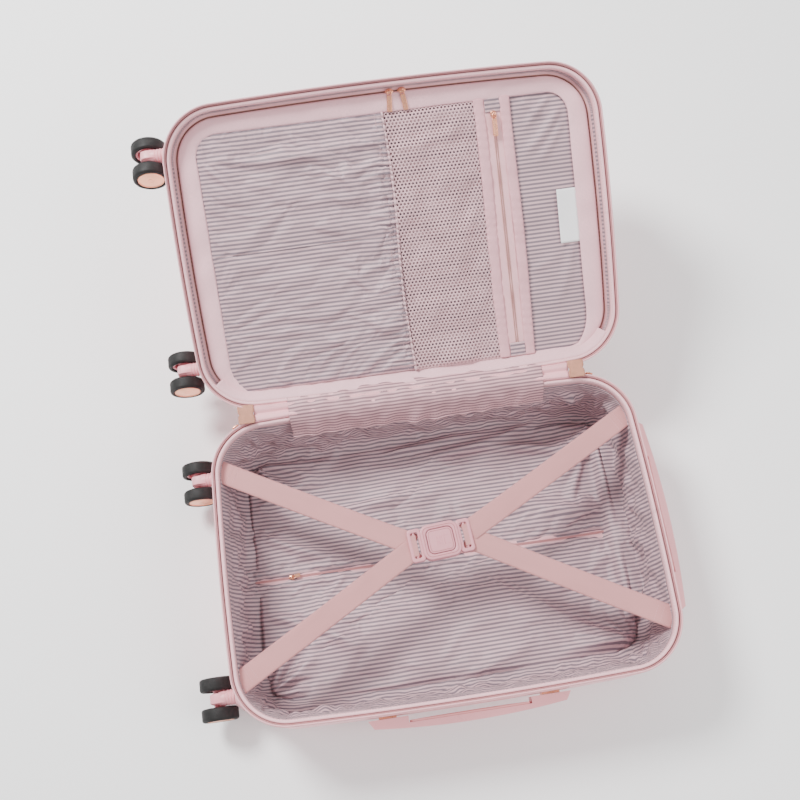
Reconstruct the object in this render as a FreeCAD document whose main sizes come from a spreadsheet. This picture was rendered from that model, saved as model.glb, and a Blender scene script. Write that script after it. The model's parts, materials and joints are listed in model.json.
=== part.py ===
import FreeCAD, Part
import math
import os
import re
import Sketcher
from FreeCAD import Placement, Rotation, Vector

# Hard shell suitcase on four pairs of wheels, lying open on the back of its rear shell.
# +Z is up, X runs along the case from the wheels (-X) to the top handle (+X), and the hinge
# is on the +Y side. The origin is the middle of the rear shell's flat back.
# The lid is drawn in its own frame, lying on its back with the hinge on its -Y side, and is
# then tilted up about the hinge.

doc = FreeCAD.newDocument("suitcase")

# ---------------------------------------------------------------- driving dimensions (mm, deg)
SIZES = {
    "case_length": 500, "case_width": 352, "half_depth": 120,
    "corner_radius": 63, "side_arc": 5300, "end_arc": 3520, "back_fillet": 28,
    "rear_wall": 2.6, "front_wall": 1.8, "zip_gap": 12, "hinge_offset": 2, "lid_lean": 30,
    "flute_radius": 11, "flute_depth": 0.9, "flute_pitch": 24, "flute_count": 12,
    "lining_gap": 3, "lining_wall": 1.4, "tub_floor": 23,
    "tape_wall": 2.4, "tape_rise": 5.7, "tape_skirt": 16, "tape_skin": 0.8,
    "binding_start": 3.9, "binding_width": 4.5, "binding_skirt": 10, "binding_rise": 2.5,
    "hinge_tape_length": 372, "hinge_shift": 6, "hinge_tape_skin": 1.2, "tab_width": 19, "tab_middle": 195,
    "flap_length": 300, "flap_reach": 26, "flap_skin": 1.1,
    "stem_inset": 48, "stem_height": 50, "stem_reach": 25, "trail": 12,
    "wheel_radius": 21, "wheel_width": 15, "rim_radius": 16, "rim_wall": 3, "wheel_half_gauge": 16.5,
    "axle_radius": 2.5, "running_gap": 0.05, "hub_boss": 6.5, "spoke_width": 4, "cap_skin": 2,
    "neck_radius": 8, "head_radius": 8, "web_width": 11, "web_length": 24, "pin_radius": 4, "pin_reach": 20,
    "collar_base": 17, "collar_nose": 9.5, "collar_reach": 4,
    "tube_width": 22, "tube_height": 13, "tube_wall": 1, "tube_gap": 0.2, "tube_half_span": 72,
    "tube_level": 14, "tube_start": -208, "cup_start": 212, "cup_half_width": 100,
    "cup_low": 6, "cup_high": 35, "cup_wall": 1.5, "grip_length": 184, "grip_height": 18,
    "grip_start": 219,
    "handle_length": 228, "handle_hold": 138, "handle_height": 26, "handle_end": 11,
    "handle_bow": 6, "handle_gap": 7, "pad_skin": 2, "stud_radius": 3, "stud_reach": 9,
    "stud_spacing": 184, "side_handle_middle": 5, "side_handle_level": 60,
    "top_handle_level": 82,
    "strap_width": 25, "strap_skin": 1.4, "strap_level": 106.5, "anchor_x": 232, "anchor_y": 115,
    "buckle_length": 44, "buckle_width": 40, "buckle_height": 11, "buckle_level": 102,
    "buckle_wall": 2, "buckle_frame": 14, "buckle_turn": 4, "buckle_middle": 3,
    "zip_width": 24, "zip_skin": 1, "zip_length": 440, "coil_width": 3, "pull_width": 7, "pull_length": 20,
    "divider_inset": 15, "divider_level": 104, "divider_skin": 2, "divider_hinge_gap": 4,
    "divider_border": 20, "divider_fold": 26, "fold_half_width": 206, "gathered_start": -200,
    "pocket_split": 3, "mesh_edge": 106, "strip_edge": 147, "pocket_skin": 3, "mesh_skin": 1.2,
    "label_edge": 213, "label_length": 23, "label_width": 62, "divider_slider_middle": 19,
}
sheet = doc.addObject("Spreadsheet::Sheet", "Sizes")
for row, (alias, number) in enumerate(SIZES.items(), start=1):
    sheet.set("A%d" % row, alias)
    sheet.set("B%d" % row, str(number))
    sheet.setAlias("B%d" % row, alias)
doc.recompute()


def formula(text):
    """Spell the sheet's aliases out for an expression, such as Sizes.half_depth."""
    return re.sub(r"[a-z_]+", lambda word: "Sizes." + word.group() if word.group() in SIZES else word.group(),
                  str(text))


def number(text):
    """The value of a formula in the sheet's aliases."""
    return float(sheet.evalExpression(formula(text)))


def bind(item, **formulas):
    """Bind properties of an object to the sheet; a double underscore stands for a dot."""
    for prop, text in formulas.items():
        item.setExpression(prop.replace("__", "."), formula(text))
    return item


def place(item, x=0, y=0, z=0):
    """Bind an object's position to the sheet."""
    return bind(item, Placement__Base__x=x, Placement__Base__y=y, Placement__Base__z=z)


# ---------------------------------------------------------------- sketch and solid helpers
def origin_plane(body, role):
    return next(item for item in body.Origin.OriginFeatures if item.Role == role)


def new_sketch(body, role="XY_Plane", offset=0):
    sketch = body.newObject("Sketcher::SketchObject", "Sketch")
    sketch.AttachmentSupport = [(origin_plane(body, role), "")]
    sketch.MapMode = "FlatFace"
    bind(sketch, AttachmentOffset__Base__z=offset)
    return sketch


def size_constraint(sketch, text, kind, *where):
    index = sketch.addConstraint(Sketcher.Constraint(kind, *where, number(text)))
    sketch.setExpression("Constraints[%d]" % index, formula(text))


END, SIDE = ("case_length", "end_arc"), ("case_width", "side_arc")


def corner_centre():
    """Where the corner arcs that touch an end and a side are centred, in the first quadrant."""
    end = Vector(number("case_length / 2 - end_arc"), 0)
    side = Vector(0, number("case_width / 2 - side_arc"))
    end_reach, side_reach = number("end_arc - corner_radius"), number("side_arc - corner_radius")
    span = side - end
    along = (end_reach ** 2 - side_reach ** 2 + span.Length ** 2) / (2 * span.Length)
    across = math.sqrt(end_reach ** 2 - along ** 2)
    unit = span / span.Length
    return end + unit * along + Vector(-unit.y, unit.x) * across


def case_outline(sketch, inset):
    """The case's plan outline set in by a distance: four bowed sides joined by corner arcs."""
    centre = corner_centre()
    lean = [math.atan2(centre.y, centre.x - number("case_length / 2 - end_arc")),
            math.atan2(centre.x, centre.y - number("case_width / 2 - side_arc"))]
    step, square = number(inset), math.pi / 2
    first = sketch.GeometryCount
    for quarter in range(4):
        reach, bow = (END, SIDE)[quarter % 2]
        outward = Vector(round(math.cos(quarter * square)), round(math.sin(quarter * square)))
        next_out = Vector(-outward.y, outward.x)
        middle = outward * number("%s / 2 - %s" % (reach, bow))
        corner = Vector(centre.x * (outward.x + next_out.x), centre.y * (outward.y + next_out.y))
        start, stop = quarter * square - lean[quarter % 2], quarter * square + lean[quarter % 2]
        after = (quarter + 1) * square - lean[(quarter + 1) % 2]
        upright = Vector(0, 0, 1)
        sketch.addGeometry(Part.ArcOfCircle(Part.Circle(middle, upright, number(bow) - step), start, stop))
        round_corner = Part.Circle(corner, upright, number("corner_radius") - step)
        sketch.addGeometry(Part.ArcOfCircle(round_corner, stop, after))
    for quarter in range(4):
        reach, bow = (END, SIDE)[quarter % 2]
        side, corner, after = (first + (2 * quarter + step) % 8 for step in range(3))
        axis, kind = ((-1, "DistanceX"), (-2, "DistanceY"))[quarter % 2]
        ends = (side, 3, -1, 1) if quarter < 2 else (-1, 1, side, 3)
        sketch.addConstraint(Sketcher.Constraint("PointOnObject", side, 3, axis))
        sketch.addConstraint(Sketcher.Constraint("Tangent", side, 2, corner, 1))
        sketch.addConstraint(Sketcher.Constraint("Tangent", corner, 2, after, 1))
        size_constraint(sketch, "%s - %s / 2" % (bow, reach), kind, *ends)
        size_constraint(sketch, "%s - (%s)" % (bow, inset), "Radius", side)
        size_constraint(sketch, "corner_radius - (%s)" % inset, "Radius", corner)


def rectangle(sketch, low_x, high_x, low_y, high_y):
    """A rectangle between four bound positions in the sketch's own axes."""
    left, right, bottom, top = (number(text) for text in (low_x, high_x, low_y, high_y))
    corners = [Vector(left, bottom), Vector(right, bottom), Vector(right, top), Vector(left, top)]
    first = sketch.GeometryCount
    for start, stop in zip(corners, corners[1:] + corners[:1]):
        sketch.addGeometry(Part.LineSegment(start, stop))
    for side in range(4):
        sketch.addConstraint(Sketcher.Constraint("Coincident", first + side, 2, first + (side + 1) % 4, 1))
        sketch.addConstraint(Sketcher.Constraint(("Horizontal", "Vertical")[side % 2], first + side))
    size_constraint(sketch, low_x, "DistanceX", -1, 1, first, 1)
    size_constraint(sketch, low_y, "DistanceY", -1, 1, first, 1)
    size_constraint(sketch, high_x, "DistanceX", -1, 1, first + 2, 1)
    size_constraint(sketch, high_y, "DistanceY", -1, 1, first + 2, 1)


def circle(sketch, x, y, radius):
    """A circle with a bound centre and radius."""
    index = sketch.addGeometry(Part.Circle(Vector(number(x), number(y)), Vector(0, 0, 1), number(radius)))
    size_constraint(sketch, radius, "Radius", index)
    size_constraint(sketch, x, "DistanceX", -1, 1, index, 3)
    size_constraint(sketch, y, "DistanceY", -1, 1, index, 3)


def new_body(label):
    body = doc.addObject("PartDesign::Body", label)
    body.Label = label
    return body


def pad(body, sketch, length, midplane=False, reverse=False):
    feature = body.newObject("PartDesign::Pad", "Pad")
    feature.Profile = sketch
    feature.Midplane, feature.Reversed = midplane, reverse
    bind(feature, Length=length)
    doc.recompute()
    return feature


def pocket(body, sketch, length, midplane=False, reverse=False):
    """A cut that is checked against the solid before it."""
    before = body.Shape.Volume
    feature = body.newObject("PartDesign::Pocket", "Pocket")
    feature.Profile = sketch
    feature.Midplane, feature.Reversed = midplane, reverse
    bind(feature, Length=length)
    doc.recompute()
    if not feature.Shape.Volume < before:
        raise ValueError("%s: a pocket cuts nothing" % body.Label)
    return feature


def level_edges(shape, level):
    """The names of the edges that lie flat at one height."""
    names = []
    for index, edge in enumerate(shape.Edges, start=1):
        box = edge.BoundBox
        if abs(box.ZMin - level) < 1e-3 and abs(box.ZMax - level) < 1e-3:
            names.append("Edge%d" % index)
    return names


def round_level(body, feature, level, radius):
    """Round the edges that lie at one height."""
    fillet = body.newObject("PartDesign::Fillet", "Fillet")
    fillet.Base = (feature, level_edges(feature.Shape, number(level)))
    bind(fillet, Radius=radius)
    doc.recompute()
    return fillet


def plug(label, inset, bottom, top, fillet=None):
    """A solid with the case's outline between two heights, its lower edge rounded."""
    body = new_body(label)
    sketch = new_sketch(body, offset=bottom)
    case_outline(sketch, inset)
    feature = pad(body, sketch, "(%s) - (%s)" % (top, bottom))
    if fillet:
        round_level(body, feature, bottom, fillet)
    return body


def ring(label, outer, inner, bottom, top):
    """A band between two outlines and two heights."""
    body = new_body(label)
    sketch = new_sketch(body, offset=bottom)
    case_outline(sketch, outer)
    case_outline(sketch, inner)
    pad(body, sketch, "(%s) - (%s)" % (top, bottom))
    return body


def box(label, low_x, high_x, low_y, high_y, low_z, high_z):
    """A box between bound positions on each axis."""
    solid = doc.addObject("Part::Box", label)
    bind(solid, Length="(%s) - (%s)" % (high_x, low_x), Width="(%s) - (%s)" % (high_y, low_y),
         Height="(%s) - (%s)" % (high_z, low_z))
    return place(solid, low_x, low_y, low_z)


TURN_TO = {"x": Rotation(Vector(0, 1, 0), 90), "y": Rotation(Vector(1, 0, 0), -90), "z": Rotation()}


def rod(label, radius, length, direction="x", x=0, y=0, z=0):
    """A cylinder that starts at a bound position and runs along a positive axis."""
    solid = doc.addObject("Part::Cylinder", label)
    solid.Placement = Placement(Vector(), TURN_TO[direction])
    bind(solid, Radius=radius, Height=length)
    return place(solid, x, y, z)


def cut(label, base, *tools):
    """The base with every tool taken away."""
    result = doc.addObject("Part::Cut", label)
    result.Base = base
    result.Tool = tools[0] if len(tools) == 1 else fuse(label + "_tools", *tools)
    result.Label = label
    return result


def fuse(label, *shapes):
    result = doc.addObject("Part::MultiFuse", label)
    result.Shapes = list(shapes)
    result.Label = label
    return result


def common(label, *shapes):
    result = doc.addObject("Part::MultiCommon", label)
    result.Shapes = list(shapes)
    result.Label = label
    return result


nodes = []


def keep(item, place_at=None):
    """Hand a finished object over as a node of its own."""
    if place_at:
        item.Placement = place_at
    nodes.append(item)
    return item


def group(label, *members, place_at=None):
    """Separate solids that share a node."""
    compound = doc.addObject("Part::Compound", label)
    compound.Links = list(members)
    compound.Label = label
    return keep(compound, place_at)


# ---------------------------------------------------------------- where the lid and casters stand
HINGE = Vector(0, number("case_width / 2 + hinge_offset"), number("half_depth + zip_gap / 2"))
LID = (Placement(HINGE, Rotation(Vector(1, 0, 0), number("lid_lean")))
       * Placement(Vector(0, HINGE.y, -HINGE.z), Rotation()))


def stem(half, side):
    """A caster's frame: +X out of the wheel end along the stem, the wheels hanging on -Z."""
    point = Vector(number("-case_length / 2"), side * number("case_width / 2 - stem_inset"),
                   number("stem_height"))
    if half == "front":
        point = LID.multVec(point)
    return Placement(point, Rotation(Vector(0, 0, 1), 180))


# ---------------------------------------------------------------- shells
def shell(name, wall, holes):
    """A moulded half shell: rounded back, thin wall, shallow flutes along its back."""
    body = new_body(name + "_form")
    sketch = new_sketch(body)
    case_outline(sketch, 0)
    round_level(body, pad(body, sketch, "half_depth"), 0, "back_fillet")
    flute = new_sketch(body, "YZ_Plane")
    circle(flute, "flute_pitch * (flute_count - 1) / 2", "flute_depth - flute_radius", "flute_radius")
    groove = pocket(body, flute, "2 * case_length", midplane=True)
    row = body.newObject("PartDesign::LinearPattern", "Flutes")
    row.Originals = [groove]
    row.Direction = (origin_plane(body, "Y_Axis"), [""])
    row.Reversed = True
    bind(row, Length="flute_pitch * (flute_count - 1)", Occurrences="flute_count")
    body.Tip = row
    doc.recompute()
    hollow = plug(name + "_hollow", wall, wall, "half_depth + 1", "back_fillet - " + wall)
    return cut(name, body, hollow, *holes)


def stem_holes(name):
    return [rod("%s_stem_hole_%d" % (name, side), "pin_radius", "5 * tape_wall", "x", "-case_length / 2 - 2",
                "%d * (case_width / 2 - stem_inset)" % side, "stem_height") for side in (1, -1)]


def stud_places():
    """Where the handles' studs pass the wall: side handle on -Y, top handle on +X."""
    for side in (1, -1):
        yield "y", "side_handle_middle + %d * stud_spacing / 2" % side, "-case_width / 2", "side_handle_level"
        yield "x", "case_length / 2", "%d * stud_spacing / 2" % side, "top_handle_level"


def stud_holes():
    holes = []
    for index, (axis, x, y, z) in enumerate(stud_places()):
        back = {"x": (x + " - 6", y), "y": (x, y + " - 4")}[axis]
        holes.append(rod("stud_hole_%d" % index, "stud_radius", "10", axis, *back, z))
    return holes


cup_opening = box("cup_opening", "cup_start + cup_half_width / 5", "case_length / 2 + 5", "-cup_half_width",
                  "cup_half_width", "cup_low", "cup_high")
keep(shell("rear_shell", "rear_wall", stem_holes("rear") + stud_holes() + [cup_opening]))
keep(shell("front_shell", "front_wall", stem_holes("front")), LID)


# ---------------------------------------------------------------- rims: zip tape, binding, lining
def zip_tape(name, wall):
    """The zip tape: a skirt sewn inside the wall and the coil band that stands above its edge."""
    band = ring(name + "_band", "0.3", "tape_wall + tape_skin + 0.3", "half_depth", "half_depth + tape_rise")
    skirt = ring(name + "_skirt", wall, "tape_wall + tape_skin + 0.3", "half_depth - tape_skirt",
                 "half_depth")
    return fuse(name, band, skirt)


def binding(name):
    """The piping that covers the lining's edge along the rim."""
    body = new_body(name)
    sketch = new_sketch(body, offset="half_depth - binding_skirt")
    case_outline(sketch, "binding_start")
    case_outline(sketch, "binding_start + binding_width")
    band = pad(body, sketch, "binding_skirt + binding_rise")
    round_level(body, band, "half_depth + binding_rise", "binding_width / 3")
    return body


keep(zip_tape("rear_zip_tape", "rear_wall"))
keep(zip_tape("front_zip_tape", "front_wall"), LID)
keep(binding("rear_rim_binding"))
keep(binding("front_rim_binding"), LID)


def hinge_side_strip(label, near, far, bottom, top, low_x, high_x):
    """A piece of a band outside the wall on the hinge side."""
    whole = ring(label + "_band", "-(%s)" % far, "-(%s)" % near, bottom, top)
    window = box(label + "_window", low_x, high_x, "case_width / 4", "case_width", bottom, top)
    return common(label, whole, window)


keep(hinge_side_strip("hinge_tape", "0.3", "0.3 + hinge_tape_skin", "half_depth - tape_skirt",
                      "half_depth + 5.4", "-hinge_tape_length / 2 - hinge_shift",
                      "hinge_tape_length / 2 - hinge_shift"))
tabs = [hinge_side_strip("zip_end_tab_%s" % side, "hinge_tape_skin + 0.4", "2 * hinge_tape_skin + 0.4",
                         "half_depth - 8", "half_depth + 5.4", low, high)
        for side, low, high in (("left", "-tab_middle - hinge_shift - tab_width / 2",
                                 "-tab_middle - hinge_shift + tab_width / 2"),
                                ("right", "tab_middle - hinge_shift - tab_width / 2",
                                 "tab_middle - hinge_shift + tab_width / 2"))]
group("zip_end_tabs", *tabs)


def tub(name, wall, floor, fillet):
    """The lining's outer and inner forms: a bag with rounded lower edges that hangs in the shell."""
    outer_inset = wall + " + lining_gap"
    inner_inset = outer_inset + " + lining_wall"
    outer = plug(name + "_outside", outer_inset, floor, "half_depth - binding_skirt", fillet)
    inner = plug(name + "_inside", inner_inset, floor + " + lining_wall", "half_depth",
                 fillet + " - lining_wall")
    return outer, inner


outer, inner = tub("rear_lining", "rear_wall", "tub_floor", "back_fillet / 2")
cup_notch = box("cup_notch", "cup_start - 1", "case_length", "-cup_half_width - 2", "cup_half_width + 2",
                "0", "cup_high + 0.5")
cup_shelf = box("cup_shelf", "cup_start - 1 - lining_wall", "case_length",
                "-cup_half_width - 2 - lining_wall", "cup_half_width + 2 + lining_wall", "0",
                "cup_high + 0.5 + lining_wall")
keep(cut("rear_lining", outer, cup_notch, cut("rear_lining_room", inner, cup_shelf)))
outer, inner = tub("front_lining", "front_wall", "front_wall + lining_gap",
                   "back_fillet - front_wall - lining_gap")
keep(cut("front_lining", outer, inner), LID)


# ---------------------------------------------------------------- casters
def caster_fork():
    """The fork in the caster's frame: a neck on the stem, a web between the wheels, an axle boss."""
    neck = rod("fork_neck", "neck_radius", "stem_reach + 5.6 - collar_reach", "x", "collar_reach + 0.4")
    web = box("fork_web", "stem_reach - 10", "stem_reach - 10 + web_length", "-web_width / 2", "web_width / 2",
              "-trail", "neck_radius")
    boss = rod("fork_boss", "trail - 3", "web_width", "y", "stem_reach", "-web_width / 2", "-trail")
    stem_bore = rod("fork_stem_bore", "pin_radius + running_gap", "pin_reach + 1", "x", "0")
    axle_bore = rod("fork_axle_bore", "axle_radius", "web_width + 2", "y", "stem_reach",
                    "-web_width / 2 - 1", "-trail")
    axle = rod("fork_axle", "axle_radius", "2 * (wheel_half_gauge + 5.3)", "y", "stem_reach",
               "-wheel_half_gauge - 5.3", "-trail")
    return cut("fork", fuse("fork_solid", neck, web, boss), stem_bore, axle_bore), axle


def wheel_tyre():
    """A tread band with rounded shoulders about the Y axis."""
    body = new_body("tyre")
    sketch = new_sketch(body, "XZ_Plane")
    circle(sketch, "0", "0", "wheel_radius")
    circle(sketch, "0", "0", "rim_radius")
    feature = pad(body, sketch, "wheel_width", midplane=True)
    shoulders = ["Edge%d" % index for index, edge in enumerate(feature.Shape.Edges, start=1)
                 if isinstance(edge.Curve, Part.Circle) and edge.Curve.Radius > number("wheel_radius") - 0.1]
    fillet = body.newObject("PartDesign::Fillet", "Shoulders")
    fillet.Base = (feature, shoulders)
    bind(fillet, Radius="rim_wall")
    doc.recompute()
    return body


def wheel_hub():
    """A rim, a boss and five spokes about the Y axis, its bore running on the axle."""
    body = new_body("hub")
    rim = new_sketch(body, "XZ_Plane")
    circle(rim, "0", "0", "rim_radius")
    circle(rim, "0", "0", "rim_radius - rim_wall")
    pad(body, rim, "wheel_width - 4", midplane=True)
    spoke = new_sketch(body, "XZ_Plane")
    rectangle(spoke, "hub_boss / 2", "rim_radius - rim_wall / 2", "-spoke_width / 2", "spoke_width / 2")
    arm = pad(body, spoke, "wheel_width - 9", midplane=True)
    spokes = body.newObject("PartDesign::PolarPattern", "Spokes")
    spokes.Originals = [arm]
    spokes.Axis = (origin_plane(body, "Y_Axis"), [""])
    spokes.Occurrences = 5
    body.Tip = spokes
    doc.recompute()
    boss = new_sketch(body, "XZ_Plane", "-(wheel_width / 2 - 2)")
    circle(boss, "0", "0", "hub_boss")
    pad(body, boss, "wheel_width / 2 - 2 + wheel_half_gauge - web_width / 2 - 0.3")
    bore = new_sketch(body, "XZ_Plane")
    circle(bore, "0", "0", "axle_radius + running_gap")
    pocket(body, bore, "4 * wheel_width", midplane=True)
    return body


fork, axle = caster_fork()
tyre, hub = wheel_tyre(), wheel_hub()
cap = rod("wheel_cap", "rim_radius - 0.5", "cap_skin", "y", "0", "wheel_width / 2 - 2")
CASTERS = [(half, side) for half in ("rear", "front") for side in (1, -1)]
SIDE_NAMES = {1: "left", -1: "right"}
for half, side in CASTERS:
    name = "%s_%s" % (half, SIDE_NAMES[side])
    frame = stem(half, side)
    group("fork_" + name, fork, axle, place_at=frame)
    for count, facing in ((1, 1), (2, -1)):
        centre = Vector(number("stem_reach"), facing * number("wheel_half_gauge"), number("-trail"))
        wheel = frame * Placement(centre, Rotation(Vector(0, 0, 1), 90 - 90 * facing))
        group("tyre_%s_%d" % (name, count), tyre, place_at=wheel)
        group("hub_%s_%d" % (name, count), hub, cap, place_at=wheel)

# ---------------------------------------------------------------- caster housings on the wheel ends
wall_form = plug("wall_form", "0", "0", "half_depth", "back_fillet")


def housing(half, side, nut_band, lining_space):
    """A flared collar on the wheel end, and the pin that the fork turns on with its nut inside the wall."""
    y, z = "%d * (case_width / 2 - stem_inset)" % side, "stem_height"
    label = "%s_housing_%s" % (half, SIDE_NAMES[side])
    collar = doc.addObject("Part::Cone", label + "_collar")
    collar.Placement = Placement(Vector(), Rotation(Vector(0, 1, 0), -90))
    bind(collar, Radius1="collar_base", Radius2="collar_nose", Height="collar_reach + 4")
    place(collar, "-case_length / 2 + 4", y, z)
    pin = rod(label + "_pin", "pin_radius", "pin_reach + 16", "x", "-case_length / 2 - pin_reach", y, z)
    nut = rod(label + "_nut", "head_radius", "20", "x", "-case_length / 2", y, z)
    shank = cut(label + "_shank", pin, lining_space)
    stud = fuse(label + "_stem", shank, common(label + "_head", nut, nut_band))
    return cut(label, collar, wall_form, pin), stud


for half, place_at in (("rear", None), ("front", LID)):
    near, far = half + "_wall + 0.1", half + "_wall + lining_gap - 0.1"
    nut_band = ring(half + "_nut_band", near, far, "stem_height - head_radius - 1",
                    "stem_height + head_radius + 1")
    lining_space = plug(half + "_lining_space", far, "0", "half_depth")
    members = [member for side in (1, -1) for member in housing(half, side, nut_band, lining_space)]
    group(half + "_wheel_housings", *members, place_at=place_at)

# ---------------------------------------------------------------- telescopic trolley in the rear shell
def tube_pair(label, shrink, start, stop):
    """Two rectangular tubes side by side, each stage smaller than the one it slides in."""
    tubes = []
    for side in (1, -1):
        half_width, half_height = "(tube_width / 2 - %s)" % shrink, "(tube_height / 2 - %s)" % shrink
        y = "%d * tube_half_span" % side
        solid = box("%s_solid_%d" % (label, side), start, stop, y + " - " + half_width, y + " + " + half_width,
                    "tube_level - " + half_height, "tube_level + " + half_height)
        bore = box("%s_bore_%d" % (label, side), start + " - 1", stop + " + 1",
                   "%s - (%s - tube_wall)" % (y, half_width), "%s + (%s - tube_wall)" % (y, half_width),
                   "tube_level - (%s - tube_wall)" % half_height, "tube_level + (%s - tube_wall)" % half_height)
        tubes.append(cut("%s_%d" % (label, side), solid, bore))
    return tubes


stage = "(tube_wall + tube_gap)"
base = box("trolley_base", "tube_start - 11", "tube_start", "-tube_half_span - 16", "tube_half_span + 16",
           "rear_wall + 0.6", "tub_floor - 0.6")
group("trolley_outer_tubes", *tube_pair("outer_tube", "0", "tube_start", "cup_start"), base)
group("trolley_middle_tubes", *tube_pair("middle_tube", stage, "tube_start + 4", "cup_start + cup_wall"))
group("trolley_inner_tubes", *tube_pair("inner_tube", "2 * " + stage, "tube_start + 8", "grip_start + 7"))

cup_block = common("cup_block", wall_form, box("cup_outside", "cup_start", "case_length", "-cup_half_width",
                                               "cup_half_width", "cup_low", "cup_high"))
cup_room = box("cup_room", "cup_start + cup_wall", "case_length", "-cup_half_width + cup_wall",
               "cup_half_width - cup_wall", "cup_low + cup_wall", "cup_high - cup_wall")
cup_holes = [box("cup_hole_%d" % side, "cup_start - 1", "cup_start + cup_wall + 1",
                 "%d * tube_half_span - tube_width / 2 + tube_wall" % side,
                 "%d * tube_half_span + tube_width / 2 - tube_wall" % side,
                 "tube_level - tube_height / 2 + tube_wall", "tube_level + tube_height / 2 - tube_wall")
             for side in (1, -1)]
keep(cut("trolley_cup", cup_block, cup_room, *cup_holes))

grip_form = plug("grip_form", "1.2", "0", "half_depth", "back_fillet - 1.2")
grip_block = common("grip_block", grip_form,
                    box("grip_outside", "grip_start", "case_length", "-grip_length / 2", "grip_length / 2",
                        "tube_level - 5.5", "tube_level - 5.5 + grip_height"))
grip_room = box("grip_room", "grip_start + 7", "grip_start + 18", "-tube_half_span - 12", "tube_half_span + 12",
                "tube_level - 3.5", "tube_level + 3.5")
tube_sockets = [box("tube_socket_%d" % side, "grip_start - 1", "grip_start + 7",
                    "%d * tube_half_span - (tube_width / 2 - 2 * %s)" % (side, stage),
                    "%d * tube_half_span + (tube_width / 2 - 2 * %s)" % (side, stage),
                    "tube_level - (tube_height / 2 - 2 * %s)" % stage,
                    "tube_level + (tube_height / 2 - 2 * %s)" % stage) for side in (1, -1)]
button_hole = box("button_hole", "grip_start + 11.5", "case_length", "-15.3", "15.3",
                  "tube_level - 3.3", "tube_level + 5.3")
keep(cut("trolley_grip", grip_block, grip_room, button_hole, *tube_sockets))
button_form = plug("button_form", "0.6", "0", "half_depth", "back_fillet - 0.6")
keep(common("trolley_button", button_form,
            box("button_block", "grip_start + 16", "case_length", "-15", "15", "tube_level - 3",
                "tube_level + 5")))
yoke = box("push_yoke", "grip_start + 12.5", "grip_start + 16", "-tube_half_span - 3", "tube_half_span + 3",
           "tube_level - 2.5", "tube_level + 2.5")
push_rods = [rod("push_rod_%d" % side, "1.5", "grip_start + 13 - tube_start - 20", "x", "tube_start + 20",
                 "%d * tube_half_span" % side, "tube_level") for side in (1, -1)]
keep(fuse("trolley_push_rods", yoke, *push_rods))


# ---------------------------------------------------------------- carry handles
def handle_form(label):
    """A bowed bar with sloping ends, notched for the fingers; X along it, +Y away from the wall."""
    body = new_body(label)
    sketch = new_sketch(body)
    foot, shoulder = number("handle_length / 2"), number("handle_length / 2 - 6")
    low, high, bow = 1.8, number("handle_end"), number("handle_bow")
    points = [Vector(-foot, low), Vector(foot, low), Vector(shoulder, high), Vector(-shoulder, high)]
    for start, stop in ((0, 1), (1, 2), (3, 0)):
        sketch.addGeometry(Part.LineSegment(points[start], points[stop]))
    sketch.addGeometry(Part.Arc(points[2], Vector(0, high + bow), points[3]))
    for first, last in (((0, 2), (1, 1)), ((1, 2), (3, 1)), ((3, 2), (2, 1)), ((2, 2), (0, 1))):
        sketch.addConstraint(Sketcher.Constraint("Coincident", *first, *last))
    size_constraint(sketch, "-handle_length / 2", "DistanceX", -1, 1, 0, 1)
    size_constraint(sketch, "handle_length / 2", "DistanceX", -1, 1, 0, 2)
    size_constraint(sketch, "handle_length / 2 - 6", "DistanceX", -1, 1, 3, 1)
    size_constraint(sketch, "6 - handle_length / 2", "DistanceX", -1, 1, 3, 2)
    for where in ((3, 1), (3, 2)):
        size_constraint(sketch, "handle_end", "DistanceY", -1, 1, *where)
    for where in ((0, 1), (0, 2)):
        size_constraint(sketch, "1.8", "DistanceY", -1, 1, *where)
    half_chord = "(handle_length / 2 - 6)"
    size_constraint(sketch, "(%s ^ 2 + handle_bow ^ 2) / (2 * handle_bow)" % half_chord, "Radius", 3)
    pad(body, sketch, "handle_height", midplane=True)
    gap = new_sketch(body)
    rectangle(gap, "-handle_hold / 2", "handle_hold / 2", "0", "handle_gap + pad_skin")
    pocket(body, gap, "2 * handle_height", midplane=True)
    return body


def handle(label, frame):
    """A handle's grip with blind bores for its studs, and the soft pad that lines its grip."""
    bores = [rod("%s_bore_%d" % (label, side), "stud_radius + running_gap", "stud_reach + 0.5", "y",
                 "%d * stud_spacing / 2" % side) for side in (1, -1)]
    keep(cut(label + "_grip", handle_form(label + "_form"), *bores), frame)
    lining = box(label + "_pad_lining", "-handle_hold / 2", "handle_hold / 2", "handle_gap",
                 "handle_gap + pad_skin", "-handle_height / 2 + 2", "handle_height / 2 - 2")
    group(label + "_pad", lining, place_at=frame)


doc.recompute()
handle("side_handle", Placement(Vector(number("side_handle_middle"), number("-case_width / 2"),
                                       number("side_handle_level")), Rotation(Vector(0, 0, 1), 180)))
handle("top_handle", Placement(Vector(number("case_length / 2"), 0, number("top_handle_level")),
                               Rotation(Vector(0, 0, 1), -90)))


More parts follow.
